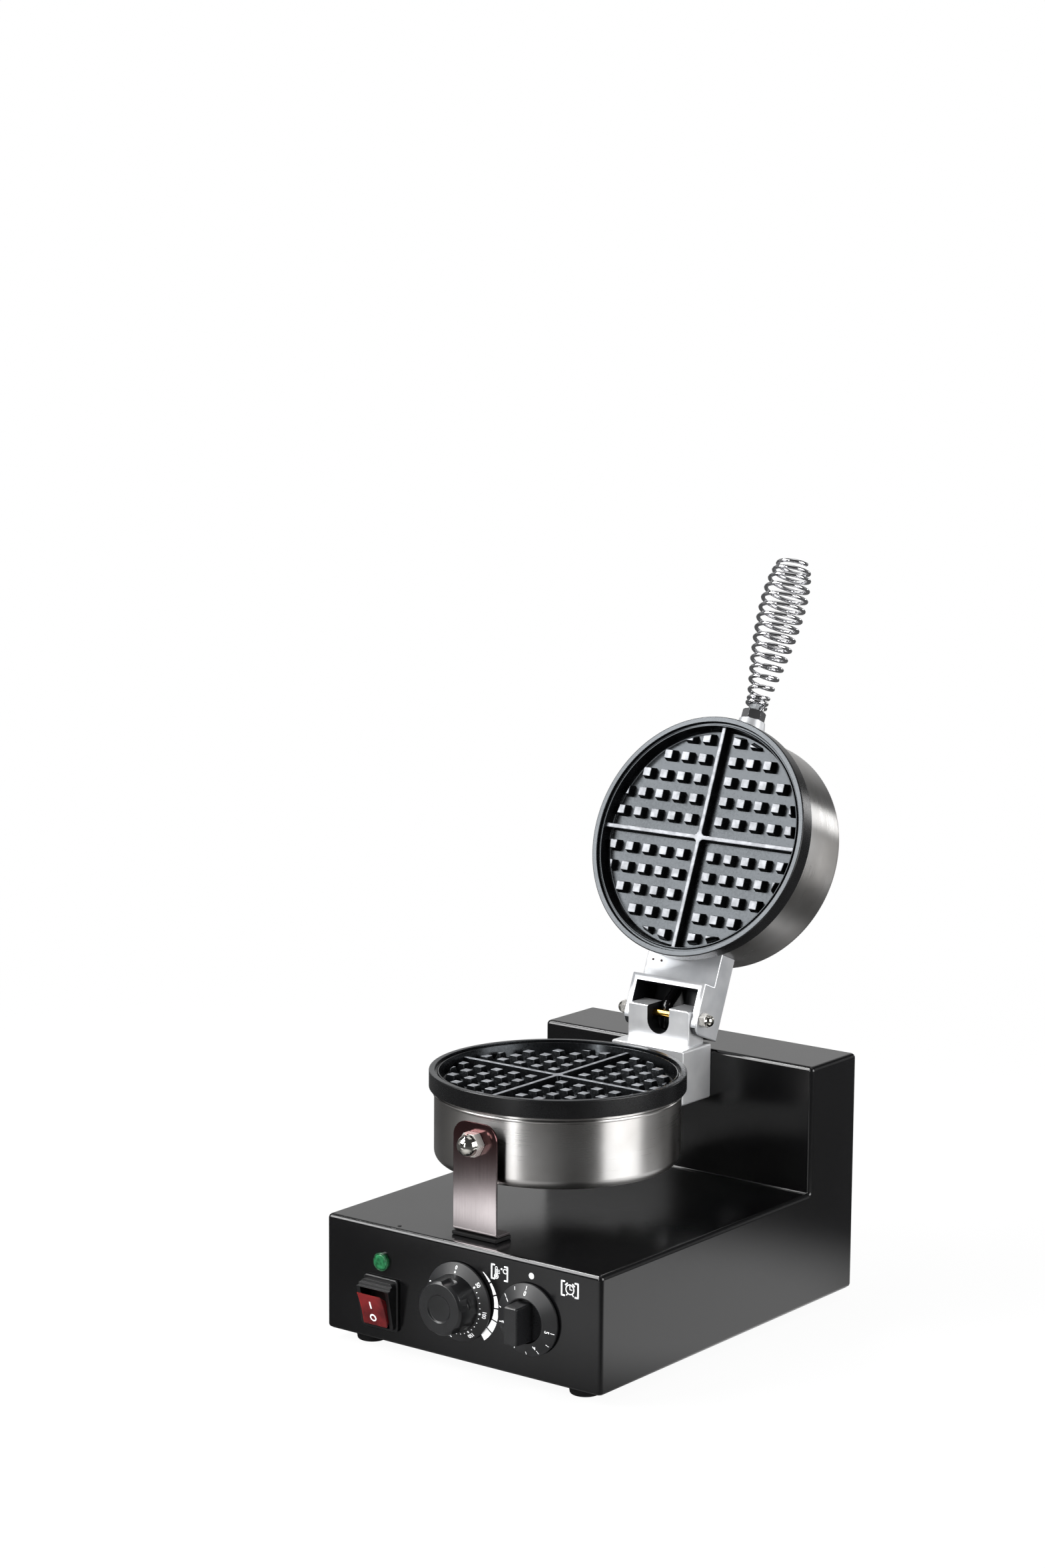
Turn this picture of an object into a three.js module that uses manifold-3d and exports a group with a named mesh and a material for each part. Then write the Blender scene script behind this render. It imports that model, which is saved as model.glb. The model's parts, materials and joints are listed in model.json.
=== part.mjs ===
// Commercial waffle maker with one round mould, lid open.
// Millimetres, +X to the right, +Y to the back, +Z up. The origin is on the floor under the middle.
import * as THREE from 'three';
import { mergeVertices } from 'three/addons/utils/BufferGeometryUtils.js';
import Module from 'manifold-3d';

const wasm = await Module();
wasm.setup();

// Fits and drawing quality
const seat = 0.3; // gap left where two pieces meet
const overrun = 2; // how far a cutting tool runs past what it cuts
const ring_sides = 40; // sides of the moulds, shells and knobs
const small_sides = 12; // sides of bolts, pins and bores
const corner_steps = 3; // steps in a rounded corner

// Case: one sheet with a low deck in front and a tower behind
const base_width = 255.5;
const base_depth = 333.6;
const deck_height = 88.5;
const tower_below_joint = 9.2; // tower's top below the joint plane of the moulds
const tower_depth = 62.9;
const case_sheet = 1.5;
const fold_radius = 4;
const side_round = 3.2;
const parting_height = 197.2; // joint plane of the moulds, above the case's lower edge
const tower_height = parting_height - tower_below_joint;
const tower_front = base_depth - tower_depth;

// Rubber feet and the bottom cover they are screwed to
const foot_height = 8;
const foot_radius = 12.5;
const foot_taper = 1.2;
const foot_edge = 1;
const foot_recess_radius = 4.5;
const foot_recess_depth = 4;
const foot_inset_x = 28;
const foot_inset_y = 20;
const cover_sheet = 1.5;
const vent_length = 46;
const vent_width = 4;
const vent_pitch = 14;
const vent_count = 8;
const vent_setback = 133.6;
const vent_y = base_depth - vent_setback;

// Moulds: cast plate with rim, overflow groove, lip, floor, crossed ribs and pegs
const shell_radius = 92.8;
const rim_overhang = 4; // mould's rim past the shell
const mould_radius = shell_radius + rim_overhang;
const mould_rim_height = 13.8;
const rim_edge = 0.8;
const rim_face = 3.6;
const groove_width = 2.1;
const groove_depth = 3;
const lip_width = 1;
const lip_drop = 1.4;
const wall_draft = 1.6;
const mould_floor_depth = 11.5;
const mould_floor_thickness = 6;
const rib_drop = 4.45;
const rib_width = 3.2;
const rib_draft = 1.3;
const rib_corner_radius = 2.5;
const peg_first = 14.3;
const peg_pitch = 16.3;
const peg_count = 5;
const peg_top = 6.2;
const peg_base = 12.2;
const peg_height = 6.5;
const peg_clearance = 2.2; // between the wall's foot and the pegs that it trims
const peg_trim_draft = 2.6;
const peg_sink = 1;
const mould_boss_radius = 9;
const mould_boss_height = 12;

// Shells: drawn stainless pans that close the back of the moulds
const shell_sheet = 1.2;
const shell_clearance = 39.6; // shell's bottom above the deck
const shell_corner = 8;
const shell_bead = 1.1;
const shell_bead_height = 2.4;

// Where the lower pan and the hinge stand
const lid_gap = 0.4; // between the two rims when the lid is shut
const hinge_setback = 13.7; // hinge axis in front of the tower
const hinge_rise = 17; // hinge axis above the joint plane
const pan_to_hinge = 47.2; // back of the shells to the hinge axis
const open_angle = 112; // degrees from shut to the photographed rest
const hinge_y = tower_front - hinge_setback;
const hinge_z = parting_height + hinge_rise;
const pan_reach = shell_radius + pan_to_hinge; // hinge axis to the middle of the pan
const pan_y = hinge_y - pan_reach;
const shell_top = mould_rim_height + seat; // below the joint plane
const shell_bottom = parting_height - deck_height - shell_clearance;
const shell_depth = shell_bottom - shell_top;
const shell_bore = shell_radius - shell_sheet;
const mould_underside = mould_floor_depth + mould_floor_thickness;
const lip_radius = mould_radius - rim_edge - rim_face - groove_width - lip_width;
const floor_radius = lip_radius - wall_draft;
const mould_spigot = shell_bore - seat;

// Tie bolt that pulls each shell onto its mould
const tie_radius = 3;
const tie_head_radius = 8;
const tie_head_height = 3.5;
const tie_slot = 1.4;

// Heating elements and the sensor bulb of the thermostat
const heater_radius = 3.4;
const heater_ring = 58;
const heater_tail = 16;
const heater_tail_spread = 9;
const heater_sides = 6;
const heater_steps = 32;
const bulb_radius = 3;
const bulb_length = 70;
const bulb_offset = 26;

// Hinge block: casting on the tower, with a notched lug and a neck that carries the pan
const block_width = 68;
const block_depth = 38.4;
const block_height = 43.5;
const block_below_joint = 3.7;
const block_round = 1;
const lug_width = 57.6;
const lug_thickness = 21;
const lug_height = 28;
const notch_width = 20.6;
const notch_floor = 14.2; // bottom of the notch below the hinge axis
const neck_width = 40;
const neck_height = 44;
const neck_below_joint = 19.2;
const block_top = parting_height - block_below_joint;
const block_bottom = block_top - block_height;
const neck_top = parting_height - neck_below_joint;
const neck_bottom = neck_top - neck_height;

// Hinge pin and its domed nuts
const pin_radius = 3;
const pin_end = 6.5; // pin past the arm's ear
const pin_nut_flats = 10;
const pin_nut_height = 5;
const pin_nut_dome = 4.75;

// Arm: casting on the lid with two ears, a web, a window and a cover plate
const ear_thickness = 5.2;
const ear_clearance = 0.4;
const arm_front_drop = 7.2; // front face of the frame below the hinge axis
const arm_web_rise = 6.5; // web above the hinge axis
const arm_web_thickness = 3.5;
const arm_top_rise = 26;
const arm_cover_thickness = 3.5;
const arm_tail = 12.2; // arm's end behind the hinge axis
const arm_tail_radius = 8.5;
const arm_bar_front = 27.5; // cross bar in front of the hinge axis
const arm_bar_thickness = 5.2;
const arm_flange = 5;
const ear_inner = lug_width / 2 + ear_clearance;
const ear_outer = ear_inner + ear_thickness;

// Bolts that hold the castings
const bolt_radius = 2.5;
const bolt_head_radius = 4.3;
const bolt_head_height = 4;
const bolt_hex_radius = 2.2;
const bolt_hex_depth = 2;
const bolt_grip = 16;
const block_bolt_x = 24;
const block_bolt_rise = 12;
const block_bolt_z = block_bottom + block_bolt_rise;
const neck_bolt_x = 12;
const neck_bolt_rise = 14;
const neck_bolt_z = neck_bottom + neck_bolt_rise;
const arm_bolt_x = 20;
const arm_bolt_rise = 15;
const arm_bolt_grip = 8;

// Sleeved lead that crosses the hinge
const lead_radius = 4.5;
const lead_sides = 10;
const lead_steps = 8;
const lead_x = -5;
const lead_behind = 8; // lead behind the hinge axis
const lead_bore_radius = 6.5;
const lead_bend = 8;
const lead_bore_rise = 20;
const lead_bore_z = block_bottom + lead_bore_rise;
const lead_inside = 12; // lead's end inside the tower
const lead_start_rise = 7.25;
const lead_start_front = 3.5;
const lead_dip_front = 7.4;
const lead_dip_rise = 6;
const lead_climb_front = 13.5;
const lead_climb_rise = 9.8;
const lead_over_front = 20;
const lead_over_rise = 14.7;
const lead_run_front = 28;
const lead_run_rise = 15.8;
const lead_shell_end = 10;

// Front support of the lower pan: bent plate, pad, stud, spacer and domed nut
const bracket_width = 40;
const bracket_sheet = 2;
const bracket_standoff = 5.7;
const bracket_corner = 12;
const bracket_above_stud = 15.4;
const bracket_foot = 17;
const bracket_bend = 3.5;
const stud_drop_share = 0.528; // of the shell's depth below the joint plane
const pad_thickness = 2.6;
const pad_margin = 0.8;
const stud_radius = 5;
const stud_head_radius = 8;
const stud_head_height = 4;
const spacer_radius = 8;
const stud_nut_flats = 17;
const stud_nut_height = 8;
const stud_nut_dome = 7.5;
const stud_nut_bore_share = 0.5; // share of the dome that the bore reaches into
const foot_screw_radius = 2;
const foot_screw_head = 4;
const foot_screw_head_height = 2.4;
const foot_screw_length = 9;
const foot_screw_back = 10;

// Handle: seat on the upper shell, plug, nut and hollow coil spring
const handle_above_joint = 40;
const handle_tilt = 3; // degrees that the handle rises towards its tip
const handle_seat_radius = 10.5;
const handle_seat_foot = 12.5;
const handle_seat_edge = 2;
const handle_seat_reach = 12;
const handle_bolt_radius = 4;
const handle_bolt_head_radius = 7;
const handle_bolt_head_height = 4;
const handle_nut_flats = 16.4;
const handle_nut_height = 8;
const handle_nut_turn = 7; // degrees
const handle_plug_radius = 5.5;
const handle_plug_length = 12;
const coil_wire = 3.2;
const coil_length = 122;
const coil_turns = 16;
const coil_steps = 8;
const coil_wire_sides = 5;
const coil_neck_radius = 7.6;
const coil_belly_radius = 17.4;
const coil_tip_radius = 12;
const coil_tight_pitch = 3.8;
const coil_tight_share = 0.12;
const coil_belly_share = 0.72;
const coil_tip_pitch = 6;

// Indicator lamp
const switch_inset = 54.25; // from the case's left side to the lamp and the switch
const lamp_x = switch_inset - base_width / 2;
const lamp_z = 61.3;
const lamp_lens_radius = 5.8;
const lamp_lens_out = 3.4;
const lamp_bezel_radius = 6.9;
const lamp_bezel_out = 2.6;
const lamp_bezel_lip = 1.2;
const lamp_body_radius = 5.8;
const lamp_body_length = 24;
const lamp_body_shoulder = 8;

// Rocker switch in its hooded frame
const switch_x = lamp_x;
const switch_z = 26.8;
const switch_flange_width = 33;
const switch_flange_top = 23;
const switch_flange_bottom = 17;
const switch_flange_out = 3;
const switch_hood_width = 28.6;
const switch_hood_top = 16.6;
const switch_hood_bottom = 15.2;
const switch_hood_out_top = 12;
const switch_hood_out_bottom = 5.6;
const switch_steps = 3;
const switch_step = 2.2;
const switch_step_side = 0.55;
const switch_step_drop = 2.8;
const switch_round = 3;
const rocker_width = 23;
const rocker_side_gap = 0.4;
const rocker_half_height = 13.1;
const rocker_out_top = 16.8;
const rocker_out_bottom = 8.1;
const rocker_pivot_out = 7;
const rocker_back_radius = 6;
const rocker_pin_radius = 1.5;
const rocker_pin_length = 1.3;
const rocker_window_top = 15.8;
const rocker_window_bottom = 14;
const rocker_edge = 1.2;
const switch_body_depth = 24;
const switch_body_margin = 1.5;
const switch_body_out = 0.4;

// Temperature knob with a numbered skirt, on its thermostat
const dial_x = 0;
const dial_z = 45.6;
const knob_gap = 1.2; // between the panel and a knob's skirt
const dial_skirt_radius = 29.6;
const dial_skirt_edge = 1.6;
const dial_skirt_rise = 5;
const dial_body_radius = 21.6;
const dial_body_taper = 1.2;
const dial_out = 25;
const dial_edge = 2;
const dial_dish_radius = 10.5;
const dial_dish_depth = 1.2;
const dial_scallops = 6;
const dial_scallop_radius = 8;
const dial_scallop_bite = 2.2;
const dial_scallop_turn = 15; // degrees from the panel's right
const dial_scallop_depth = 11;
const shaft_radius = 3;
const shaft_depth_in_knob = 13;
const shaft_depth_in_body = 12;
const thermostat_width = 34;
const thermostat_height = 32;
const thermostat_depth = 26;
const thermostat_round = 2;
const thermostat_collar_radius = 8;
const thermostat_collar_depth = 6;

// Timer knob with a bar grip, on its clockwork
const timer_x = 64; // from the temperature knob
const timer_z = 44.8;
const timer_skirt_radius = 27;
const timer_skirt_edge = 1.4;
const timer_cone_radius = 16;
const timer_cone_rise = 6.4;
const timer_grip_width = 12.8;
const timer_grip_length = 29.4;
const timer_grip_out = 23.5;
const timer_grip_round = 2;
const timer_width = 46;
const timer_height = 46;
const timer_depth = 36;
const timer_round = 4;
const bell_radius = 19;
const bell_height = 9;
const bell_sheet = 1;
const bell_post_radius = 2;

// Mains side: gland in the back wall and terminal block on the cover
const gland_inset = 57.75;
const gland_x = base_width / 2 - gland_inset;
const gland_z = 36;
const gland_bore_radius = 4.2;
const gland_body_radius = 7.6;
const gland_flange_radius = 11;
const gland_out = 9;
const gland_flange_thickness = 3;
const gland_nut_flats = 20;
const gland_nut_thickness = 4;
const gland_tip_radius = 6;
const terminal_offset = 30;
const terminal_x = gland_x - terminal_offset;
const terminal_setback = 41.6;
const terminal_pitch = 11;
const terminal_ways = 3;
const terminal_depth = 20;
const terminal_base = 6;
const terminal_height = 15;
const terminal_wall = 2;
const terminal_y = base_depth - terminal_setback;

// Finishes
function finish(colour, roughness, metalness) {
  return new THREE.MeshStandardMaterial({ color: colour, roughness, metalness });
}
const black_paint = finish(0x151517, 0.32, 0.1);
const black_cast = finish(0x1b1b1d, 0.5, 0.3);
const brushed_steel = finish(0xb9b9b8, 0.34, 0.95);
const cast_aluminium = finish(0xc4c6c9, 0.42, 0.85);
const chrome = finish(0xd6d6d8, 0.12, 1);
const brass = finish(0xc79a3d, 0.3, 0.9);
const rubber = finish(0x121213, 0.8, 0);
const black_plastic = finish(0x1a1b1d, 0.45, 0);
const red_plastic = finish(0x8a2a2c, 0.3, 0);
const green_plastic = finish(0x2f9a5a, 0.25, 0);
const zinc_steel = finish(0x9a9c9e, 0.4, 0.9);
const dark_steel = finish(0x5a5754, 0.5, 0.8);
const white_plastic = finish(0xd9d6cc, 0.5, 0);

// Solids: a geometry becomes one closed mesh that faces outwards
function closed(geometry) {
  const plain = geometry.clone();
  plain.deleteAttribute('normal');
  plain.deleteAttribute('uv');
  const merged = mergeVertices(plain);
  const points = merged.getAttribute('position').array;
  const corner = (i) => new THREE.Vector3().fromArray(points, 3 * i);
  const faces = [];
  let volume = 0;
  for (let i = 0; i < merged.index.count; i += 3) {
    const face = [0, 1, 2].map((k) => merged.index.getX(i + k));
    const [a, b, c] = face;
    if (a === b || b === c || c === a) continue;
    faces.push(face);
    volume += corner(a).dot(corner(b).cross(corner(c)));
  }
  if (volume < 0) faces.forEach((face) => face.reverse());
  const out = new THREE.BufferGeometry();
  out.setAttribute('position', new THREE.BufferAttribute(new Float32Array(points), 3));
  out.setIndex(faces.flat());
  return out;
}

function toManifold(geometry) {
  const mesh = closed(geometry);
  return new wasm.Manifold(new wasm.Mesh({
    numProp: 3,
    vertProperties: mesh.getAttribute('position').array,
    triVerts: new Uint32Array(mesh.index.array),
  }));
}

function toGeometry(manifold) {
  const mesh = manifold.getMesh();
  const out = new THREE.BufferGeometry();
  out.setAttribute('position', new THREE.BufferAttribute(new Float32Array(mesh.vertProperties), 3));
  out.setIndex(Array.from(mesh.triVerts));
  return out;
}

function cut(body, ...tools) {
  return toGeometry(tools.reduce((left, tool) => left.subtract(toManifold(tool)), toManifold(body)));
}

function join(body, ...others) {
  return toGeometry(others.reduce((left, other) => left.add(toManifold(other)), toManifold(body)));
}

function common(body, other) {
  return toGeometry(toManifold(body).intersect(toManifold(other)));
}

// Basic forms
function turned(profile, sides) {
  const points = profile.map(([radius, height]) => new THREE.Vector2(radius, height));
  return new THREE.LatheGeometry(points, sides).rotateX(Math.PI / 2);
}

function cylinder(radius, from, to, sides = small_sides) {
  return turned([[0, from], [radius, from], [radius, to], [0, to]], sides);
}

function tube(outer, inner, from, to, sides = small_sides) {
  return turned([[inner, from], [outer, from], [outer, to], [inner, to], [inner, from]], sides);
}

// A form along +Z laid along +Y or along +X
const alongY = (geometry) => geometry.rotateX(-Math.PI / 2);
const alongX = (geometry) => geometry.rotateY(Math.PI / 2);

function box(x0, x1, y0, y1, z0, z1) {
  const geometry = new THREE.BoxGeometry(x1 - x0, y1 - y0, z1 - z0);
  return geometry.translate((x0 + x1) / 2, (y0 + y1) / 2, (z0 + z1) / 2);
}

function roundedRectangle(left, right, bottom, top, radius) {
  const shape = new THREE.Shape();
  shape.moveTo(left + radius, bottom);
  shape.lineTo(right - radius, bottom);
  shape.absarc(right - radius, bottom + radius, radius, -Math.PI / 2, 0);
  shape.lineTo(right, top - radius);
  shape.absarc(right - radius, top - radius, radius, 0, Math.PI / 2);
  shape.lineTo(left + radius, top);
  shape.absarc(left + radius, top - radius, radius, Math.PI / 2, Math.PI);
  shape.lineTo(left, bottom + radius);
  shape.absarc(left + radius, bottom + radius, radius, Math.PI, 3 * Math.PI / 2);
  return shape;
}

// An outline drawn in X and Z, pulled from y0 to y1, with its end edges rounded by edge
function panelSolid(shape, y0, y1, edge = 0) {
  const geometry = new THREE.ExtrudeGeometry(shape, {
    depth: y1 - y0 - 2 * edge,
    curveSegments: corner_steps,
    bevelEnabled: edge > 0,
    bevelThickness: edge,
    bevelSize: edge,
    bevelOffset: -edge,
    bevelSegments: 2,
  });
  return geometry.rotateX(Math.PI / 2).translate(0, y1 - edge, 0);
}

// An outline drawn in Y and Z, pulled from x0 to x1
function sideSolid(shape, x0, x1, edge = 0) {
  const geometry = new THREE.ExtrudeGeometry(shape, {
    depth: x1 - x0 - 2 * edge,
    curveSegments: corner_steps,
    bevelEnabled: edge > 0,
    bevelThickness: edge,
    bevelSize: edge,
    bevelOffset: -edge,
    bevelSegments: corner_steps,
  });
  const turn = new THREE.Matrix4().makeBasis(
    new THREE.Vector3(0, 1, 0), new THREE.Vector3(0, 0, 1), new THREE.Vector3(1, 0, 0));
  return geometry.applyMatrix4(turn).translate(x0 + edge, 0, 0);
}

function outline(points) {
  return new THREE.Shape(points.map(([u, v]) => new THREE.Vector2(u, v)));
}

function hexagon(flats, from, to) {
  const hex = new THREE.CylinderGeometry(flats / Math.sqrt(3), flats / Math.sqrt(3), to - from, 6);
  return hex.rotateX(Math.PI / 2).translate(0, 0, (from + to) / 2);
}

// Domed nut that stands on z = 0 with a blind bore
function domedNut(flats, height, dome, bore, depth) {
  const crown = [[0, height / 2], [dome, height / 2], [dome, height]];
  for (let i = 1; i <= 2 * corner_steps; i += 1) {
    const angle = (i / (2 * corner_steps)) * Math.PI / 2;
    const radius = i === 2 * corner_steps ? 0 : dome * Math.cos(angle);
    crown.push([radius, height + dome * Math.sin(angle)]);
  }
  const body = join(hexagon(flats, 0, height), turned(crown, small_sides));
  return cut(body, cylinder(bore, -overrun, depth));
}

// Socket bolt along +Z: the head's seat is at z = 0 and the shank points up
function socketBolt(shank, head, headHeight, length) {
  const body = turned([[0, -headHeight], [head, -headHeight], [head, 0], [shank, 0],
    [shank, length], [0, length]], small_sides);
  const socket = hexagon(bolt_hex_radius * Math.sqrt(3), -headHeight - overrun, -headHeight + bolt_hex_depth);
  return cut(body, socket);
}

function sweep(points, radius, sides, steps) {
  const path = new THREE.CatmullRomCurve3(points);
  const section = new THREE.Shape();
  for (let i = 0; i < sides; i += 1) {
    const angle = (i / sides) * 2 * Math.PI;
    const x = radius * Math.cos(angle);
    const y = radius * Math.sin(angle);
    if (i === 0) section.moveTo(x, y);
    else section.lineTo(x, y);
  }
  return new THREE.ExtrudeGeometry(section, { steps, bevelEnabled: false, extrudePath: path });
}

// Case, open below, drawn from the side and pulled across the width
function caseBlock(inset) {
  const front = inset;
  const back = base_depth - inset;
  const deck = deck_height - inset;
  const top = tower_height - inset;
  const tower = tower_front + inset;
  const radius = fold_radius - inset;
  const low = -fold_radius - overrun;
  const shape = new THREE.Shape();
  shape.moveTo(front, low);
  shape.lineTo(back, low);
  shape.lineTo(back, top - radius);
  shape.absarc(back - radius, top - radius, radius, 0, Math.PI / 2);
  shape.lineTo(tower + radius, top);
  shape.absarc(tower + radius, top - radius, radius, Math.PI / 2, Math.PI);
  shape.lineTo(tower, deck);
  shape.lineTo(front + radius, deck);
  shape.absarc(front + radius, deck - radius, radius, Math.PI / 2, Math.PI);
  const half = base_width / 2 - inset;
  return sideSolid(shape, -half, half, side_round - inset);
}

function casePiece() {
  const below = box(-base_width, base_width, -overrun, base_depth + overrun, -base_depth, 0);
  const shell = cut(caseBlock(0), caseBlock(case_sheet), below);
  const frontHole = (x, z, radius) => alongY(cylinder(radius, -overrun, case_sheet + overrun))
    .translate(x, 0, z);
  const cutout = box(switch_x - switchHalfWidth - seat, switch_x + switchHalfWidth + seat,
    -overrun, case_sheet + overrun,
    switch_z - rocker_window_bottom + switch_body_margin - seat,
    switch_z + rocker_window_top - switch_body_margin + seat);
  const holes = [
    frontHole(lamp_x, lamp_z, lamp_body_radius + seat),
    frontHole(dial_x, dial_z, shaft_radius + overrun),
    frontHole(timer_x, timer_z, shaft_radius + overrun),
    cutout,
    alongY(cylinder(gland_body_radius + seat, base_depth - fold_radius, base_depth + overrun))
      .translate(gland_x, 0, gland_z),
    alongY(cylinder(lead_bore_radius, tower_front - overrun, tower_front + fold_radius))
      .translate(lead_x, 0, lead_bore_z),
    cylinder(foot_screw_radius + seat, deck_height - fold_radius, deck_height + overrun)
      .translate(0, bracket_front + foot_screw_back, 0),
  ];
  for (const side of [-1, 1]) {
    holes.push(alongY(cylinder(bolt_radius + seat, tower_front - overrun, tower_front + fold_radius))
      .translate(side * block_bolt_x, 0, block_bolt_z));
  }
  return cut(shell, ...holes);
}

function bottomCover() {
  const half = base_width / 2 - case_sheet - seat;
  const near = case_sheet + seat;
  const far = base_depth - case_sheet - seat;
  const slots = [];
  for (let i = 0; i < vent_count; i += 1) {
    const y = vent_y + (i - (vent_count - 1) / 2) * vent_pitch;
    slots.push(box(-vent_length / 2, vent_length / 2, y - vent_width / 2, y + vent_width / 2,
      -overrun, cover_sheet + overrun));
  }
  const sheet = new THREE.ExtrudeGeometry(roundedRectangle(-half, half, near, far, side_round), {
    depth: cover_sheet, curveSegments: corner_steps, bevelEnabled: false,
  });
  return cut(sheet, ...slots);
}

function foot() {
  const top = foot_height - seat;
  return turned([[0, foot_recess_depth], [foot_recess_radius, foot_recess_depth],
    [foot_recess_radius, 0], [foot_radius - foot_taper - foot_edge, 0],
    [foot_radius - foot_taper, foot_edge], [foot_radius, top], [0, top]], 2 * small_sides);
}

// Mould with its joint plane at z = 0 and its body below
function mould() {
  const rim = mould_radius - rim_edge;
  const grooveOut = rim - rim_face;
  const lipOut = grooveOut - groove_width;
  const floor = -mould_floor_depth;
  const under = -mould_underside;
  const plate = turned([[0, under - mould_boss_height + mould_floor_thickness],
    [mould_boss_radius, under - mould_boss_height + mould_floor_thickness],
    [mould_boss_radius, under], [mould_spigot, under], [mould_spigot, -mould_rim_height],
    [mould_radius, -mould_rim_height], [mould_radius, -rim_edge], [rim, 0], [grooveOut, 0],
    [grooveOut, -groove_depth], [lipOut, -groove_depth], [lipOut, -lip_drop],
    [lip_radius, -lip_drop], [floor_radius, floor], [0, floor]], ring_sides);
  const bottom = floor - peg_sink;
  const ribs = common(ribCross(floor), cylinder(lip_radius, bottom, -rib_drop, ring_sides));
  const pegTop = floor + peg_height;
  const trimFoot = floor_radius - peg_clearance;
  const trim = turned([[0, bottom], [trimFoot, bottom], [trimFoot, floor],
    [trimFoot - peg_trim_draft, pegTop], [0, pegTop]], ring_sides);
  const tie = cylinder(tie_radius + seat, under - mould_boss_height - overrun, floor - overrun);
  return cut(join(plate, ribs, common(pegField(floor, trimFoot), trim)), tie);
}

// Crossed ribs with drafted sides and rounded inner corners
function ribCross(floor) {
  const half = rib_width / 2;
  const reach = mould_radius;
  const turn = half + rib_corner_radius;
  const shape = new THREE.Shape();
  shape.moveTo(half, -reach);
  for (let quarter = 0; quarter < 4; quarter += 1) {
    const angle = quarter * Math.PI / 2;
    const place = (u, v) => [u * Math.cos(angle) - v * Math.sin(angle),
      u * Math.sin(angle) + v * Math.cos(angle)];
    const middle = place(turn, -turn);
    shape.lineTo(...place(half, -turn));
    shape.absarc(...middle, rib_corner_radius, Math.PI + angle, Math.PI / 2 + angle, true);
    shape.lineTo(...place(reach, -half));
    shape.lineTo(...place(reach, half));
  }
  const height = mould_floor_depth - rib_drop;
  const geometry = new THREE.ExtrudeGeometry(shape, {
    depth: peg_sink,
    curveSegments: 2,
    bevelEnabled: true,
    bevelThickness: height,
    bevelSize: rib_draft,
    bevelSegments: 1,
  });
  return geometry.translate(0, 0, floor - peg_sink);
}

function pegField(floor, trimFoot) {
  const slope = (peg_base - peg_top) / 2 / peg_height;
  const low = peg_base / 2 + slope * peg_sink;
  const pegs = [];
  for (let i = 0; i < peg_count; i += 1) {
    for (let j = 0; j < peg_count; j += 1) {
      const x = peg_first + i * peg_pitch;
      const y = peg_first + j * peg_pitch;
      if (Math.hypot(x, y) > trimFoot) continue;
      for (const [sx, sy] of [[1, 1], [-1, 1], [-1, -1], [1, -1]]) {
        const peg = new THREE.CylinderGeometry(peg_top / Math.SQRT2, low * Math.SQRT2,
          peg_height + peg_sink, 4);
        peg.rotateY(Math.PI / 4).rotateX(Math.PI / 2);
        pegs.push(peg.translate(sx * x, sy * y, floor + (peg_height - peg_sink) / 2));
      }
    }
  }
  return join(...pegs);
}

// Shell with the joint plane at z = 0 and its body below, before its holes are cut
function shellPan() {
  const outer = shell_radius;
  const inner = shell_bore;
  const arc = (radius, level, turnBack) => {
    const points = [];
    for (let i = 0; i <= corner_steps; i += 1) {
      const angle = (turnBack ? corner_steps - i : i) / corner_steps * Math.PI / 2;
      points.push([outer - shell_corner + radius * Math.sin(angle),
        level + shell_corner - radius * Math.cos(angle)]);
    }
    return points;
  };
  const profile = [[0, -shell_bottom], ...arc(shell_corner, -shell_bottom, false),
    [outer, -shell_top - shell_bead_height],
    [outer + shell_bead, -shell_top - shell_bead_height / 2],
    [outer, -shell_top], [inner, -shell_top],
    ...arc(shell_corner - shell_sheet, -shell_bottom, true),
    [0, -shell_bottom + shell_sheet]];
  return cut(turned(profile, ring_sides),
    cylinder(tie_radius + seat, -shell_bottom - overrun, -shell_bottom + shell_sheet + overrun));
}

// Bore in a shell's wall, on the side given by side (+1 back, -1 front)
function wallBore(radius, x, z, side) {
  const from = side * (shell_radius - shell_corner);
  const to = side * (shell_radius + overrun);
  return alongY(cylinder(radius, Math.min(from, to), Math.max(from, to))).translate(x, 0, z);
}

// Inner face of a shell's wall beside a round head at x
function innerWall(x, head) {
  return Math.sqrt(shell_bore ** 2 - (Math.abs(x) + head) ** 2) - seat;
}

function tieBolt() {
  const reach = shell_bottom - mould_underside - mould_boss_height / 2 + mould_floor_thickness;
  const body = turned([[0, -tie_head_height], [tie_head_radius, -tie_head_height / 2],
    [tie_head_radius, 0], [tie_radius, 0], [tie_radius, reach], [0, reach]], small_sides);
  const slot = box(-tie_head_radius, tie_head_radius, -tie_slot / 2, tie_slot / 2,
    -tie_head_height - overrun, -tie_head_height / 2);
  return cut(body, slot).translate(0, 0, -shell_bottom - seat);
}

// Round tubular element: nearly a full ring with two tails
function heater() {
  const level = -mould_underside - seat - heater_radius;
  const points = [];
  const gap = Math.asin(heater_tail_spread / heater_ring);
  const rise = heater_steps / 2;
  points.push(new THREE.Vector3(heater_tail_spread, heater_ring, level - heater_tail));
  points.push(new THREE.Vector3(heater_tail_spread, heater_ring, level - heater_tail / 2));
  for (let i = 1; i < rise; i += 1) {
    const angle = Math.PI / 2 - gap - (i / rise) * 2 * (Math.PI - gap);
    points.push(new THREE.Vector3(heater_ring * Math.cos(angle), heater_ring * Math.sin(angle), level));
  }
  points.push(new THREE.Vector3(-heater_tail_spread, heater_ring, level - heater_tail / 2));
  points.push(new THREE.Vector3(-heater_tail_spread, heater_ring, level - heater_tail));
  return sweep(points, heater_radius, heater_sides, heater_steps);
}

function sensorBulb() {
  const level = -mould_underside - seat - bulb_radius;
  return alongX(cylinder(bulb_radius, -bulb_length / 2, bulb_length / 2, small_sides))
    .translate(0, -bulb_offset, level);
}

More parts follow.
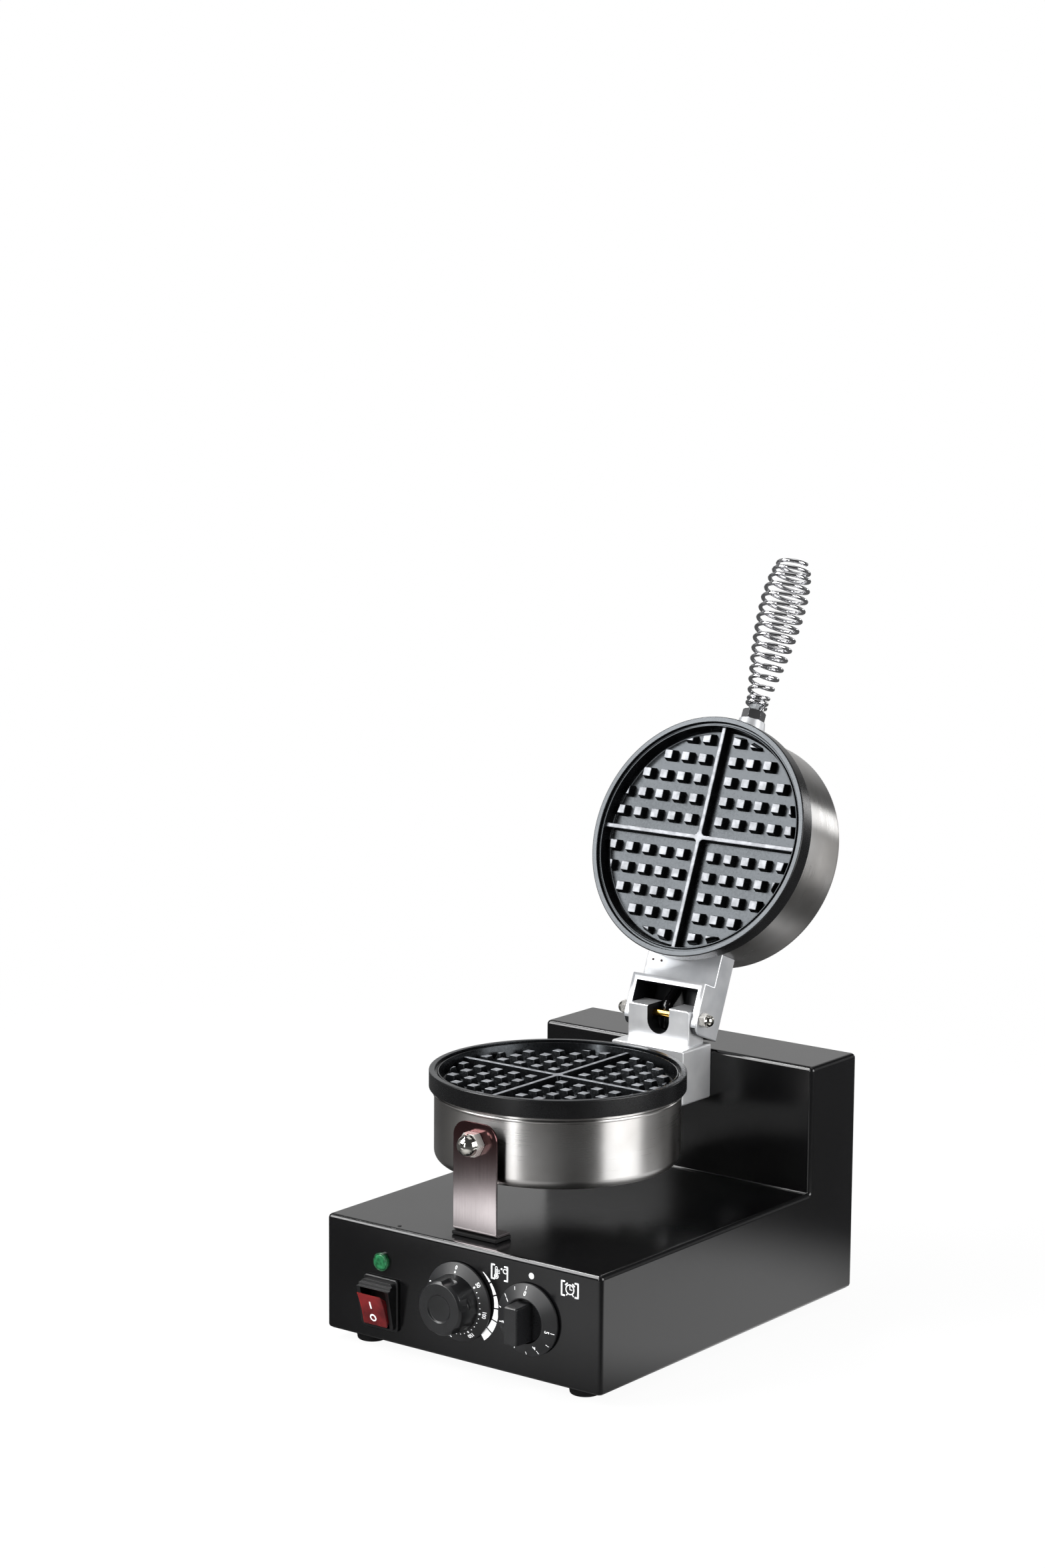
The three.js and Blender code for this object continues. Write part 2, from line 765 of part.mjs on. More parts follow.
// Hinge block in case coordinates
const block_back = tower_front - seat;
const block_front = block_back - block_depth;
const neck_middle = (neck_bottom + neck_top) / 2;
function hingeBlock() {
  const half = block_width / 2;
  const body = panelSolid(roundedRectangle(-half, half, block_bottom, block_top, block_round * 2),
    block_front, block_back, block_round);
  const lugHalf = lug_width / 2;
  const lugTop = block_top + lug_height;
  const lug = panelSolid(roundedRectangle(-lugHalf, lugHalf, block_top - fold_radius, lugTop,
    block_round * 2), hinge_y - lug_thickness / 2, hinge_y + lug_thickness / 2, block_round);
  const neckHalf = neck_width / 2;
  const neck = box(-neckHalf, neckHalf, pan_y + shell_radius / 2, block_front + overrun,
    neck_bottom, neck_top);
  const notchRound = notch_width / 2;
  const notchFloor = hinge_z - notch_floor;
  const notch = new THREE.Shape();
  notch.moveTo(notchRound, lugTop + overrun);
  notch.lineTo(-notchRound, lugTop + overrun);
  notch.lineTo(-notchRound, notchFloor + notchRound);
  notch.absarc(0, notchFloor + notchRound, notchRound, Math.PI, 2 * Math.PI);
  const notchSolid = new THREE.ExtrudeGeometry(notch, {
    depth: lug_thickness + 2 * overrun, curveSegments: 2 * corner_steps, bevelEnabled: false,
  }).rotateX(Math.PI / 2).translate(0, hinge_y + lug_thickness / 2 + overrun, 0);
  const pinBore = alongX(cylinder(pin_radius + seat, -half, half)).translate(0, hinge_y, hinge_z);
  const leadDown = cylinder(lead_bore_radius, lead_bore_z, hinge_z)
    .translate(lead_x, hinge_y + lead_behind, 0);
  const leadBack = alongY(cylinder(lead_bore_radius, hinge_y + lead_behind - lead_bend,
    block_back + overrun))
    .translate(lead_x, 0, lead_bore_z);
  const saddle = cylinder(shell_radius + seat, 0, parting_height, 2 * ring_sides)
    .translate(0, pan_y, 0);
  const bores = [];
  for (const side of [-1, 1]) {
    bores.push(alongY(cylinder(bolt_radius + seat, block_back - bolt_grip - overrun, block_back + overrun))
      .translate(side * block_bolt_x, 0, block_bolt_z));
    bores.push(alongY(cylinder(bolt_radius + seat, pan_y + innerWall(neck_bolt_x, bolt_head_radius),
      pan_y + shell_radius + bolt_grip + overrun)).translate(side * neck_bolt_x, 0, neck_bolt_z));
  }
  return cut(join(body, lug, neck), notchSolid, pinBore, leadDown, leadBack, saddle, ...bores);
}

// Arm in lid coordinates: the hinge axis is the origin and the lid is shut
const pan_front = -pan_reach;
const joint_level = lid_gap - hinge_rise;
function hingeArm() {
  const front = pan_front + shell_radius / 2;
  const web = arm_web_rise;
  const side = new THREE.Shape();
  side.moveTo(front, web);
  side.lineTo(-arm_bar_front, web);
  side.lineTo(-arm_bar_front, -arm_front_drop);
  side.lineTo(arm_tail - arm_tail_radius, -arm_front_drop);
  side.absarc(arm_tail - arm_tail_radius, -arm_front_drop + arm_tail_radius, arm_tail_radius,
    -Math.PI / 2, 0);
  side.lineTo(arm_tail, arm_top_rise);
  side.lineTo(front, arm_top_rise);
  const body = sideSolid(side, -ear_outer, ear_outer, block_round);
  const barBack = -arm_bar_front + arm_bar_thickness;
  const hollowTop = arm_top_rise - arm_cover_thickness;
  const hollowLow = -arm_front_drop - overrun;
  const hollowEnd = arm_tail + overrun;
  const webTop = web + arm_web_thickness;
  const hollow = sideSolid(outline([[front - overrun, webTop], [barBack, webTop], [barBack, hollowLow],
    [hollowEnd, hollowLow], [hollowEnd, hollowTop], [front - overrun, hollowTop]]),
    -ear_inner, ear_inner);
  const level = hinge_z;
  const pan = (radius) => cylinder(radius, -level, level, 2 * ring_sides).translate(0, pan_front, 0);
  const pinBore = alongX(cylinder(pin_radius + seat, -ear_outer - overrun, ear_outer + overrun));
  const leadBore = alongY(cylinder(lead_radius + seat, front, -arm_bar_front))
    .translate(lead_x, 0, lead_run_rise);
  const bores = [];
  for (const turn of [-1, 1]) {
    bores.push(alongY(cylinder(bolt_radius + seat, front, -arm_bar_front))
      .translate(turn * arm_bolt_x, 0, arm_bolt_rise));
  }
  const inside = cut(hollow, pan(shell_radius + seat + arm_flange));
  return cut(body, inside, pan(shell_radius + seat), pinBore, leadBore, ...bores);
}

function hingePin() {
  const end = ear_outer + pin_end;
  return alongX(cylinder(pin_radius, -end, end));
}

// Lower part of the lead, in case coordinates: out of the tower, up behind the pin
function leadLower() {
  const y = hinge_y + lead_behind;
  const points = [
    [tower_front + case_sheet + lead_inside, lead_bore_z],
    [tower_front, lead_bore_z],
    [y + lead_bend, lead_bore_z],
    [y + lead_bend * (1 - Math.SQRT1_2), lead_bore_z + lead_bend * (1 - Math.SQRT1_2)],
    [y, lead_bore_z + lead_bend],
    [y, (lead_bore_z + hinge_z) / 2],
    [y, hinge_z - seat],
  ].map(([a, b]) => new THREE.Vector3(lead_x, a, b));
  return sweep(points, lead_radius, lead_sides, 2 * lead_steps);
}

// Upper part of the lead, in lid coordinates: over the cross bar and into the upper shell
function leadUpper() {
  const points = [
    [-lead_start_front, lead_start_rise],
    [-lead_dip_front, lead_dip_rise],
    [-lead_climb_front, lead_climb_rise],
    [-lead_over_front, lead_over_rise],
    [-lead_run_front, lead_run_rise],
    [pan_front + shell_radius, lead_run_rise],
    [pan_front + shell_radius - lead_shell_end, lead_run_rise],
  ].map(([a, b]) => new THREE.Vector3(lead_x, a, b));
  return sweep(points, lead_radius, lead_sides, 2 * lead_steps);
}

// Front support, in case coordinates
const bracket_back = pan_y - shell_radius - bracket_standoff;
const bracket_front = bracket_back - bracket_sheet;
const stud_below_joint = stud_drop_share * shell_bottom;
const stud_z = parting_height - stud_below_joint;
function supportBracket() {
  const low = deck_height + seat + pad_thickness + seat;
  const top = stud_z + bracket_above_stud;
  const inner = bracket_bend - bracket_sheet;
  const shape = new THREE.Shape();
  shape.moveTo(bracket_front + bracket_bend, low);
  shape.lineTo(bracket_front + bracket_foot, low);
  shape.lineTo(bracket_front + bracket_foot, low + bracket_sheet);
  shape.lineTo(bracket_back + inner, low + bracket_sheet);
  shape.absarc(bracket_back + inner, low + bracket_bend, inner, -Math.PI / 2, -Math.PI, true);
  shape.lineTo(bracket_back, top);
  shape.lineTo(bracket_front, top);
  shape.lineTo(bracket_front, low + bracket_bend);
  shape.absarc(bracket_front + bracket_bend, low + bracket_bend, bracket_bend, Math.PI, 3 * Math.PI / 2);
  const half = bracket_width / 2;
  const bent = sideSolid(shape, -half, half);
  const mask = panelSolid(roundedRectangle(-half, half, low - bracket_corner * 2, top, bracket_corner),
    bracket_front - overrun, bracket_front + bracket_foot + overrun);
  const studHole = alongY(cylinder(stud_radius + seat, bracket_front - overrun, bracket_back + overrun))
    .translate(0, 0, stud_z);
  const screwHole = cylinder(foot_screw_radius + seat, low - overrun, low + bracket_sheet + overrun)
    .translate(0, bracket_front + foot_screw_back, 0);
  return cut(common(bent, mask), studHole, screwHole);
}

function bracketPad() {
  const half = bracket_width / 2 + pad_margin;
  const low = deck_height + seat;
  const pad = box(-half, half, bracket_front - pad_margin, bracket_front + bracket_foot + pad_margin,
    low, low + pad_thickness);
  return cut(pad, cylinder(foot_screw_radius + seat, low - overrun, low + pad_thickness + overrun)
    .translate(0, bracket_front + foot_screw_back, 0));
}

function bracketStud() {
  const head = pan_y - innerWall(0, stud_head_radius);
  const tip = bracket_front - seat - stud_nut_height - stud_nut_dome * stud_nut_bore_share + seat;
  return alongY(turned([[0, 0], [stud_head_radius, 0], [stud_head_radius, -stud_head_height],
    [stud_radius, -stud_head_height], [stud_radius, tip - head - stud_head_height],
    [0, tip - head - stud_head_height]], small_sides)).translate(0, head + stud_head_height, stud_z);
}

function bracketSpacer() {
  const spacer = tube(spacer_radius, stud_radius + seat, -bracket_standoff - overrun, -seat, small_sides);
  const shaped = alongY(spacer).translate(0, pan_y - shell_radius + overrun + 2 * seat, stud_z);
  const shell = cylinder(shell_radius + seat, 0, parting_height, 2 * ring_sides).translate(0, pan_y, 0);
  return cut(shaped, shell,
    box(-base_width, base_width, -base_depth, bracket_back + seat, 0, parting_height));
}

// Handle pieces with their axis along +Z: z = 0 is the outer face of the shell
function handleSeat() {
  const boss = turned([[0, -shell_corner], [handle_seat_foot, -shell_corner],
    [handle_seat_foot, handle_seat_edge], [handle_seat_radius, handle_seat_reach],
    [0, handle_seat_reach]], 2 * small_sides);
  return cut(boss, cylinder(handle_bolt_radius + seat, -shell_corner - overrun,
    handle_seat_reach + overrun));
}

const nut_base = handle_seat_reach + seat;
const nut_top = nut_base + handle_nut_height;
function handleNut() {
  return cut(hexagon(handle_nut_flats, nut_base, nut_top),
    cylinder(handle_bolt_radius + seat, 0, nut_top + overrun));
}

function handlePlug() {
  const lean = handle_bolt_head_radius * Math.sin(THREE.MathUtils.degToRad(handle_tilt));
  const face = innerWall(0, handle_bolt_head_radius) - shell_radius - lean;
  const head = face - handle_bolt_head_height;
  return turned([[0, head], [handle_bolt_head_radius, head], [handle_bolt_head_radius, face],
    [handle_bolt_radius, face], [handle_bolt_radius, nut_top + seat],
    [handle_plug_radius, nut_top + seat], [handle_plug_radius, nut_top + seat + handle_plug_length],
    [0, nut_top + seat + handle_plug_length]], small_sides);
}

// Coil of the handle: the radius swells to a belly and the pitch is tight at the neck and the tip
function coilPoint(share) {
  const neck = coil_tight_share;
  const belly = coil_belly_share;
  let radius = coil_neck_radius;
  if (share > neck && share <= belly) {
    const s = (share - neck) / (belly - neck);
    radius += (coil_belly_radius - coil_neck_radius) * Math.sin(s * Math.PI / 2);
  } else if (share > belly) {
    const s = (share - belly) / (1 - belly);
    radius = coil_belly_radius - (coil_belly_radius - coil_tip_radius) * (1 - Math.cos(s * Math.PI / 2));
  }
  return radius;
}

function coilHeight(share) {
  const even = coil_length / coil_turns;
  const slow = coil_tight_pitch / even;
  const shut = coil_tip_pitch / even;
  const pace = (s) => {
    if (s < coil_tight_share) return slow;
    return s > 1 - coil_tight_share ? shut : 1;
  };
  const free = 1 - 2 * coil_tight_share;
  const brisk = (1 - (slow + shut) * coil_tight_share) / free;
  let total = 0;
  const slices = coil_turns * coil_steps;
  for (let i = 0; i < slices * share; i += 1) {
    const speed = pace((i + 1 / 2) / slices);
    total += (speed === 1 ? brisk : speed) / slices;
  }
  return total * coil_length;
}

function coilCentres() {
  const count = coil_turns * coil_steps;
  const wire = coil_wire;
  const points = [];
  for (let i = 0; i <= count; i += 1) {
    const share = i / count;
    const angle = (i / coil_steps) * 2 * Math.PI;
    const radius = coilPoint(share);
    points.push(new THREE.Vector3(radius * Math.cos(angle), radius * Math.sin(angle),
      nut_top + seat + wire + coilHeight(share)));
  }
  const first = points[0];
  points.unshift(new THREE.Vector3(first.x, first.y - wire / 2, nut_top + seat + wire));
  points.unshift(new THREE.Vector3(first.x, first.y - wire / 2, nut_top + seat));
  const last = points[points.length - 1];
  const before = points[points.length - 2];
  const way = last.clone().sub(before).normalize();
  points.push(last.clone().addScaledVector(way, wire));
  return points;
}

function handleSpring() {
  const centres = coilCentres();
  const radius = coil_wire / 2;
  const up = new THREE.Vector3(0, 0, 1);
  const positions = [];
  const faces = [];
  const sides = coil_wire_sides;
  centres.forEach((centre, k) => {
    const next = centres[Math.min(k + 1, centres.length - 1)];
    const last = centres[Math.max(k - 1, 0)];
    const along = next.clone().sub(last).normalize();
    const outward = new THREE.Vector3(centre.x, centre.y, 0).normalize();
    const across = k < 2 ? along.clone().cross(outward).normalize() : up.clone();
    const second = along.clone().cross(across).normalize();
    const third = second.clone().cross(along).normalize();
    for (let i = 0; i < sides; i += 1) {
      const angle = (i / sides) * 2 * Math.PI;
      const point = centre.clone().addScaledVector(second, radius * Math.cos(angle))
        .addScaledVector(third, radius * Math.sin(angle));
      positions.push(point.x, point.y, point.z);
    }
  });
  const rings = centres.length;
  for (let k = 0; k < rings - 1; k += 1) {
    for (let i = 0; i < sides; i += 1) {
      const j = (i + 1) % sides;
      const a = k * sides + i;
      const b = k * sides + j;
      faces.push(a, b, b + sides, a, b + sides, a + sides);
    }
  }
  for (let i = 1; i < sides - 1; i += 1) {
    faces.push(0, i + 1, i);
    const base = (rings - 1) * sides;
    faces.push(base, base + i, base + i + 1);
  }
  const geometry = new THREE.BufferGeometry();
  geometry.setAttribute('position', new THREE.Float32BufferAttribute(positions, 3));
  geometry.setIndex(faces);
  return closed(geometry);
}

// Least gap of the coil to itself, from the points on its wire
function coilGap() {
  const centres = coilCentres();
  let least = Infinity;
  for (let i = 0; i < centres.length; i += 1) {
    for (let j = i + coil_steps / 2; j < centres.length; j += 1) {
      for (let k = 0; k <= coil_steps; k += 1) {
        const next = centres[Math.min(j + 1, centres.length - 1)];
        const point = centres[j].clone().lerp(next, k / coil_steps);
        least = Math.min(least, centres[i].distanceTo(point) - coil_wire);
      }
    }
  }
  return least;
}

// Lamp, in case coordinates with the panel's front face at y = 0
function lampLens() {
  const depth = case_sheet + lamp_body_shoulder;
  return alongY(turned([[0, -lamp_lens_out], [lamp_lens_radius - rim_edge, -lamp_lens_out],
    [lamp_lens_radius, -lamp_lens_out + rim_edge], [lamp_lens_radius, 0],
    [lamp_lens_radius - lamp_bezel_lip, 0], [lamp_lens_radius - lamp_bezel_lip, depth - overrun - seat],
    [0, depth - overrun - seat]], 2 * small_sides)).translate(lamp_x, 0, lamp_z);
}

function lampBezel() {
  return alongY(turned([[lamp_lens_radius + seat, -lamp_bezel_out],
    [lamp_bezel_radius - rim_edge, -lamp_bezel_out], [lamp_bezel_radius, -lamp_bezel_out + rim_edge],
    [lamp_bezel_radius, -seat], [lamp_lens_radius + seat, -seat],
    [lamp_lens_radius + seat, -lamp_bezel_out]], 2 * small_sides)).translate(lamp_x, 0, lamp_z);
}

function lampBody() {
  const inner = lamp_lens_radius - lamp_bezel_lip + seat;
  const floor = case_sheet + lamp_body_shoulder - overrun;
  return alongY(turned([[0, floor], [inner, floor], [inner, seat], [lamp_body_radius, seat],
    [lamp_body_radius, lamp_body_length], [0, lamp_body_length]], small_sides))
    .translate(lamp_x, 0, lamp_z);
}

// Rocker switch
const switchHalfWidth = rocker_width / 2 + rocker_side_gap - switch_body_margin;
function switchFrame() {
  const flangeHalf = switch_flange_width / 2;
  const flange = panelSolid(roundedRectangle(-flangeHalf, flangeHalf, -switch_flange_bottom,
    switch_flange_top, switch_round), -switch_flange_out, -seat, block_round);
  const hoodHalf = switch_hood_width / 2;
  const slope = (switch_hood_out_top - switch_hood_out_bottom) / (switch_hood_top + switch_hood_bottom);
  const layers = [];
  for (let i = 0; i < switch_steps; i += 1) {
    const top = switch_hood_top + i * switch_step;
    const half = hoodHalf + i * switch_step_side;
    const out = switch_hood_out_top - i * switch_step_drop;
    const reach = (out - switch_flange_out + seat / 2) / slope; // down to where it meets the flange
    const bottom = Math.min(switch_hood_bottom, reach - top);
    const low = out - slope * (top + bottom);
    layers.push(sideSolid(outline([[-seat - rim_edge, -bottom], [-seat - rim_edge, top], [-out, top],
      [-low, -bottom]]), -half, half, rim_edge));
  }
  const window = box(-rocker_width / 2 - rocker_side_gap, rocker_width / 2 + rocker_side_gap,
    -rocker_out_top - overrun, overrun, -rocker_window_bottom, rocker_window_top);
  const pins = alongX(cylinder(rocker_pin_radius + seat,
    -rocker_width / 2 - rocker_side_gap - rocker_pin_length,
    rocker_width / 2 + rocker_side_gap + rocker_pin_length)).translate(0, -rocker_pivot_out, 0);
  return cut(join(flange, ...layers), window, pins)
    .translate(switch_x, 0, switch_z);
}

// Rocker about its own pin: y and z are measured from the pin
function switchRocker() {
  const top = -(rocker_out_top - rocker_pivot_out);
  const bottom = -(rocker_out_bottom - rocker_pivot_out);
  const shape = new THREE.Shape();
  shape.moveTo(top, rocker_half_height);
  shape.lineTo(bottom, -rocker_half_height);
  shape.absarc(0, 0, rocker_back_radius, -Math.PI / 3, Math.PI / 3);
  const half = rocker_width / 2;
  const body = sideSolid(shape, -half, half, rocker_edge);
  const pins = alongX(cylinder(rocker_pin_radius, -half - rocker_pin_length, half + rocker_pin_length));
  return join(body, pins);
}

function switchBody() {
  const low = -rocker_window_bottom + switch_body_margin;
  const high = rocker_window_top - switch_body_margin;
  const body = box(-switchHalfWidth, switchHalfWidth, -switch_body_out, switch_body_depth, low, high);
  const terminals = [];
  for (const x of [-1, 1]) {
    for (const z of [low / 2, high / 2]) {
      terminals.push(box(x * switchHalfWidth / 2 - rim_edge / 2, x * switchHalfWidth / 2 + rim_edge / 2,
        switch_body_depth - overrun, switch_body_depth + lamp_body_shoulder,
        z - switch_round, z + switch_round));
    }
  }
  return join(body, ...terminals).translate(switch_x, 0, switch_z);
}

// Knobs about their own axes: z = 0 is the panel's face and +z points out to the user
function temperatureKnob() {
  const back = knob_gap;
  const skirt = back + dial_skirt_rise;
  const neck = dial_body_radius;
  const front = dial_out;
  const knob = turned([[0, back], [dial_skirt_radius, back], [dial_skirt_radius, back + dial_skirt_edge],
    [neck, skirt], [neck - dial_body_taper, front - dial_edge],
    [neck - dial_body_taper - dial_edge, front], [dial_dish_radius, front],
    [dial_dish_radius - dial_dish_depth, front - dial_dish_depth], [0, front - dial_dish_depth / 2]],
    ring_sides);
  const scallops = [];
  for (let i = 0; i < dial_scallops; i += 1) {
    const angle = (i / dial_scallops) * 2 * Math.PI + THREE.MathUtils.degToRad(dial_scallop_turn);
    const away = neck - dial_scallop_bite + dial_scallop_radius;
    scallops.push(cylinder(dial_scallop_radius, front - dial_scallop_depth, front + overrun)
      .translate(away * Math.cos(angle), away * Math.sin(angle), 0));
  }
  const bore = cylinder(shaft_radius + seat, back - overrun, back + shaft_depth_in_knob);
  return cut(knob, ...scallops, bore);
}

function timerKnob() {
  const back = knob_gap;
  const rise = back + timer_cone_rise;
  const cone = turned([[0, back], [timer_skirt_radius, back],
    [timer_skirt_radius, back + timer_skirt_edge], [timer_cone_radius, rise], [0, rise]], ring_sides);
  const half = timer_grip_width / 2;
  const long = timer_grip_length / 2;
  const grip = new THREE.ExtrudeGeometry(roundedRectangle(-half, half, -long, long, timer_grip_round), {
    depth: timer_grip_out - rise + overrun - timer_grip_round,
    curveSegments: corner_steps,
    bevelEnabled: true,
    bevelThickness: timer_grip_round,
    bevelSize: timer_grip_round - rim_edge,
    bevelOffset: -timer_grip_round + rim_edge,
    bevelSegments: 2,
  }).translate(0, 0, rise - overrun);
  const round = cylinder(timer_cone_radius - rim_edge, back, timer_grip_out, ring_sides);
  const bore = cylinder(shaft_radius + seat, back - overrun, back + shaft_depth_in_knob);
  return cut(join(cone, common(grip, round)), bore);
}

function knobShaft() {
  return cylinder(shaft_radius, -case_sheet - shaft_depth_in_body, knob_gap + shaft_depth_in_knob - seat);
}

function thermostatBody() {
  const half = thermostat_width / 2;
  const tall = thermostat_height / 2;
  const near = case_sheet + seat;
  const body = panelSolid(roundedRectangle(-half, half, -tall, tall, thermostat_round), near,
    near + thermostat_depth);
  const collar = alongY(cylinder(thermostat_collar_radius, near + thermostat_depth - overrun,
    near + thermostat_depth + thermostat_collar_depth));
  const bore = alongY(cylinder(shaft_radius + seat, 0, case_sheet + shaft_depth_in_body + seat));
  return cut(join(body, collar), bore).translate(dial_x, 0, dial_z);
}

function timerBody() {
  const half = timer_width / 2;
  const tall = timer_height / 2;
  const near = case_sheet + seat;
  const body = panelSolid(roundedRectangle(-half, half, -tall, tall, timer_round), near,
    near + timer_depth);
  const post = alongY(cylinder(bell_post_radius, near + timer_depth - overrun,
    near + timer_depth + bell_height - bell_sheet - seat));
  const bore = alongY(cylinder(shaft_radius + seat, 0, case_sheet + shaft_depth_in_body + seat));
  return cut(join(body, post), bore).translate(timer_x, 0, timer_z);
}

function timerBell() {
  const near = case_sheet + seat + timer_depth + seat;
  const dome = [];
  const steps = corner_steps + 1;
  for (let i = 0; i <= steps; i += 1) {
    const angle = (i / steps) * Math.PI / 2;
    dome.push([bell_radius * Math.cos(angle), near + bell_height * Math.sin(angle)]);
  }
  dome[steps][0] = 0;
  const inner = dome.map(([r, h]) => [r === 0 ? 0 : r - bell_sheet, h - (h > near ? bell_sheet : 0)]);
  return alongY(turned([...dome, ...inner.reverse(), dome[0]], 2 * small_sides))
    .translate(timer_x, 0, timer_z);
}

// Mains gland in the back wall, and its nut inside
function cordGland() {
  const outer = base_depth;
  return alongY(turned([[gland_bore_radius, outer - case_sheet - gland_nut_thickness - overrun],
    [gland_body_radius, outer - case_sheet - gland_nut_thickness - overrun],
    [gland_body_radius, outer + seat], [gland_flange_radius, outer + seat],
    [gland_flange_radius, outer + gland_flange_thickness], [gland_tip_radius, outer + gland_out],
    [gland_bore_radius, outer + gland_out],
    [gland_bore_radius, outer - case_sheet - gland_nut_thickness - overrun]], 2 * small_sides))
    .translate(gland_x, 0, gland_z);
}

function glandNut() {
  const far = base_depth - case_sheet - seat;
  return alongY(cut(hexagon(gland_nut_flats, far - gland_nut_thickness, far),
    cylinder(gland_body_radius + seat, 0, base_depth))).translate(gland_x, 0, gland_z);
}

function terminalBlock() {
  const low = cover_sheet + seat;
  const length = terminal_ways * terminal_pitch + terminal_wall;
  const base = box(-length / 2, length / 2, -terminal_depth / 2, terminal_depth / 2, low,
    low + terminal_base);
  const walls = [];
  for (let i = 0; i <= terminal_ways; i += 1) {
    const x = -length / 2 + i * terminal_pitch;
    walls.push(box(x, x + terminal_wall, -terminal_depth / 2, terminal_depth / 2, low,
      low + terminal_height));
  }
  return join(base, ...walls).translate(terminal_x, terminal_y, 0);
}

// Assembly
const machine = new THREE.Group();
function add(parent, name, geometry, material) {
  const mesh = new THREE.Mesh(closed(geometry), material);
  mesh.name = name;
  parent.add(mesh);
  return mesh;
}

const body = new THREE.Group(); // its z = 0 is the lower edge of the case
body.position.z = foot_height;
machine.add(body);

for (const [front, y] of [['front', foot_inset_y], ['rear', base_depth - foot_inset_y]]) {
  for (const [side, x] of [['left', -1], ['right', 1]]) {
    const mesh = add(machine, `foot_${front}_${side}`, foot(), rubber);
    mesh.position.set(x * (base_width / 2 - foot_inset_x), y, 0);
  }
}
add(body, 'housing', casePiece(), black_paint);
add(body, 'bottom_cover', bottomCover(), black_paint);

// Lower pan
const pan = new THREE.Group();
pan.position.set(0, pan_y, parting_height);
body.add(pan);
const lowerShell = cut(shellPan(), wallBore(stud_radius + seat, 0, -stud_below_joint, -1),
  wallBore(bolt_radius + seat, neck_bolt_x, neck_bolt_z - parting_height, 1),
  wallBore(bolt_radius + seat, -neck_bolt_x, neck_bolt_z - parting_height, 1));
add(pan, 'lower_mould', mould(), black_cast);
add(pan, 'lower_shell', lowerShell, brushed_steel);
add(pan, 'lower_heater', heater(), dark_steel);
add(pan, 'lower_tie_bolt', tieBolt(), zinc_steel);
add(pan, 'sensor_bulb', sensorBulb(), brass);
add(body, 'support_bracket', supportBracket(), brushed_steel);
add(body, 'bracket_pad', bracketPad(), rubber);
add(body, 'bracket_stud', bracketStud(), zinc_steel);
add(body, 'bracket_spacer', bracketSpacer(), zinc_steel);
const studNutDepth = stud_nut_height + stud_nut_dome * stud_nut_bore_share + seat;
const studNut = domedNut(stud_nut_flats, stud_nut_height, stud_nut_dome, stud_radius + seat, studNutDepth);
add(body, 'bracket_cap_nut', studNut.rotateX(Math.PI / 2).translate(0, bracket_front - seat, stud_z), chrome);
const footScrew = cut(turned([[0, 0], [foot_screw_head, 0], [foot_screw_head, -rim_edge],
  [foot_screw_head / 2, -foot_screw_head_height], [0, -foot_screw_head_height]].map(([r, h]) => [r, -h]),
small_sides), box(-foot_screw_head, foot_screw_head, -rim_edge / 2, rim_edge / 2,
  foot_screw_head_height / 2, foot_screw_head_height + overrun));
const footScrewSeat = deck_height + seat + pad_thickness + seat + bracket_sheet + seat;
add(body, 'bracket_screw', join(footScrew, cylinder(foot_screw_radius, -foot_screw_length, rim_edge))
  .translate(0, bracket_front + foot_screw_back, footScrewSeat), zinc_steel);

// Hinge block and its bolts
add(body, 'hinge_block', hingeBlock(), cast_aluminium);
for (const [side, x] of [['left', -1], ['right', 1]]) {
  const bolt = socketBolt(bolt_radius, bolt_head_radius, bolt_head_height, bolt_grip + case_sheet);
  add(body, `block_bolt_${side}`, bolt.rotateX(Math.PI / 2).translate(x * block_bolt_x,
    tower_front + case_sheet + seat, block_bolt_z), zinc_steel);
  const neckBolt = socketBolt(bolt_radius, bolt_head_radius, bolt_head_height, bolt_grip);
  add(body, `pan_bolt_${side}`, alongY(neckBolt).translate(x * neck_bolt_x,
    pan_y + innerWall(neck_bolt_x, bolt_head_radius), neck_bolt_z), zinc_steel);
}
add(body, 'lead_lower', leadLower(), rubber);

// Lid, drawn shut about the hinge axis and turned open
const lid = new THREE.Group();
lid.position.set(0, hinge_y, hinge_z);
lid.rotation.x = -THREE.MathUtils.degToRad(open_angle);
body.add(lid);
const lidPan = new THREE.Group(); // turned over, so its +z points down when the lid is shut
lidPan.position.set(0, pan_front, joint_level);
lidPan.rotation.x = Math.PI;
lid.add(lidPan);
const armLevel = joint_level - arm_bolt_rise;
const upperShell = cut(shellPan(),
  wallBore(handle_bolt_radius + seat, 0, -handle_above_joint, 1),
  wallBore(lead_radius + seat, lead_x, joint_level - lead_run_rise, -1),
  wallBore(bolt_radius + seat, arm_bolt_x, armLevel, -1),
  wallBore(bolt_radius + seat, -arm_bolt_x, armLevel, -1));
add(lidPan, 'upper_mould', mould(), black_cast);
add(lidPan, 'upper_shell', upperShell, brushed_steel);
add(lidPan, 'upper_heater', heater().rotateZ(Math.PI), dark_steel);
add(lidPan, 'upper_tie_bolt', tieBolt(), zinc_steel);
add(lid, 'hinge_arm', hingeArm(), cast_aluminium);
add(lid, 'hinge_pin', hingePin(), brass);
add(lid, 'lead_upper', leadUpper(), rubber);
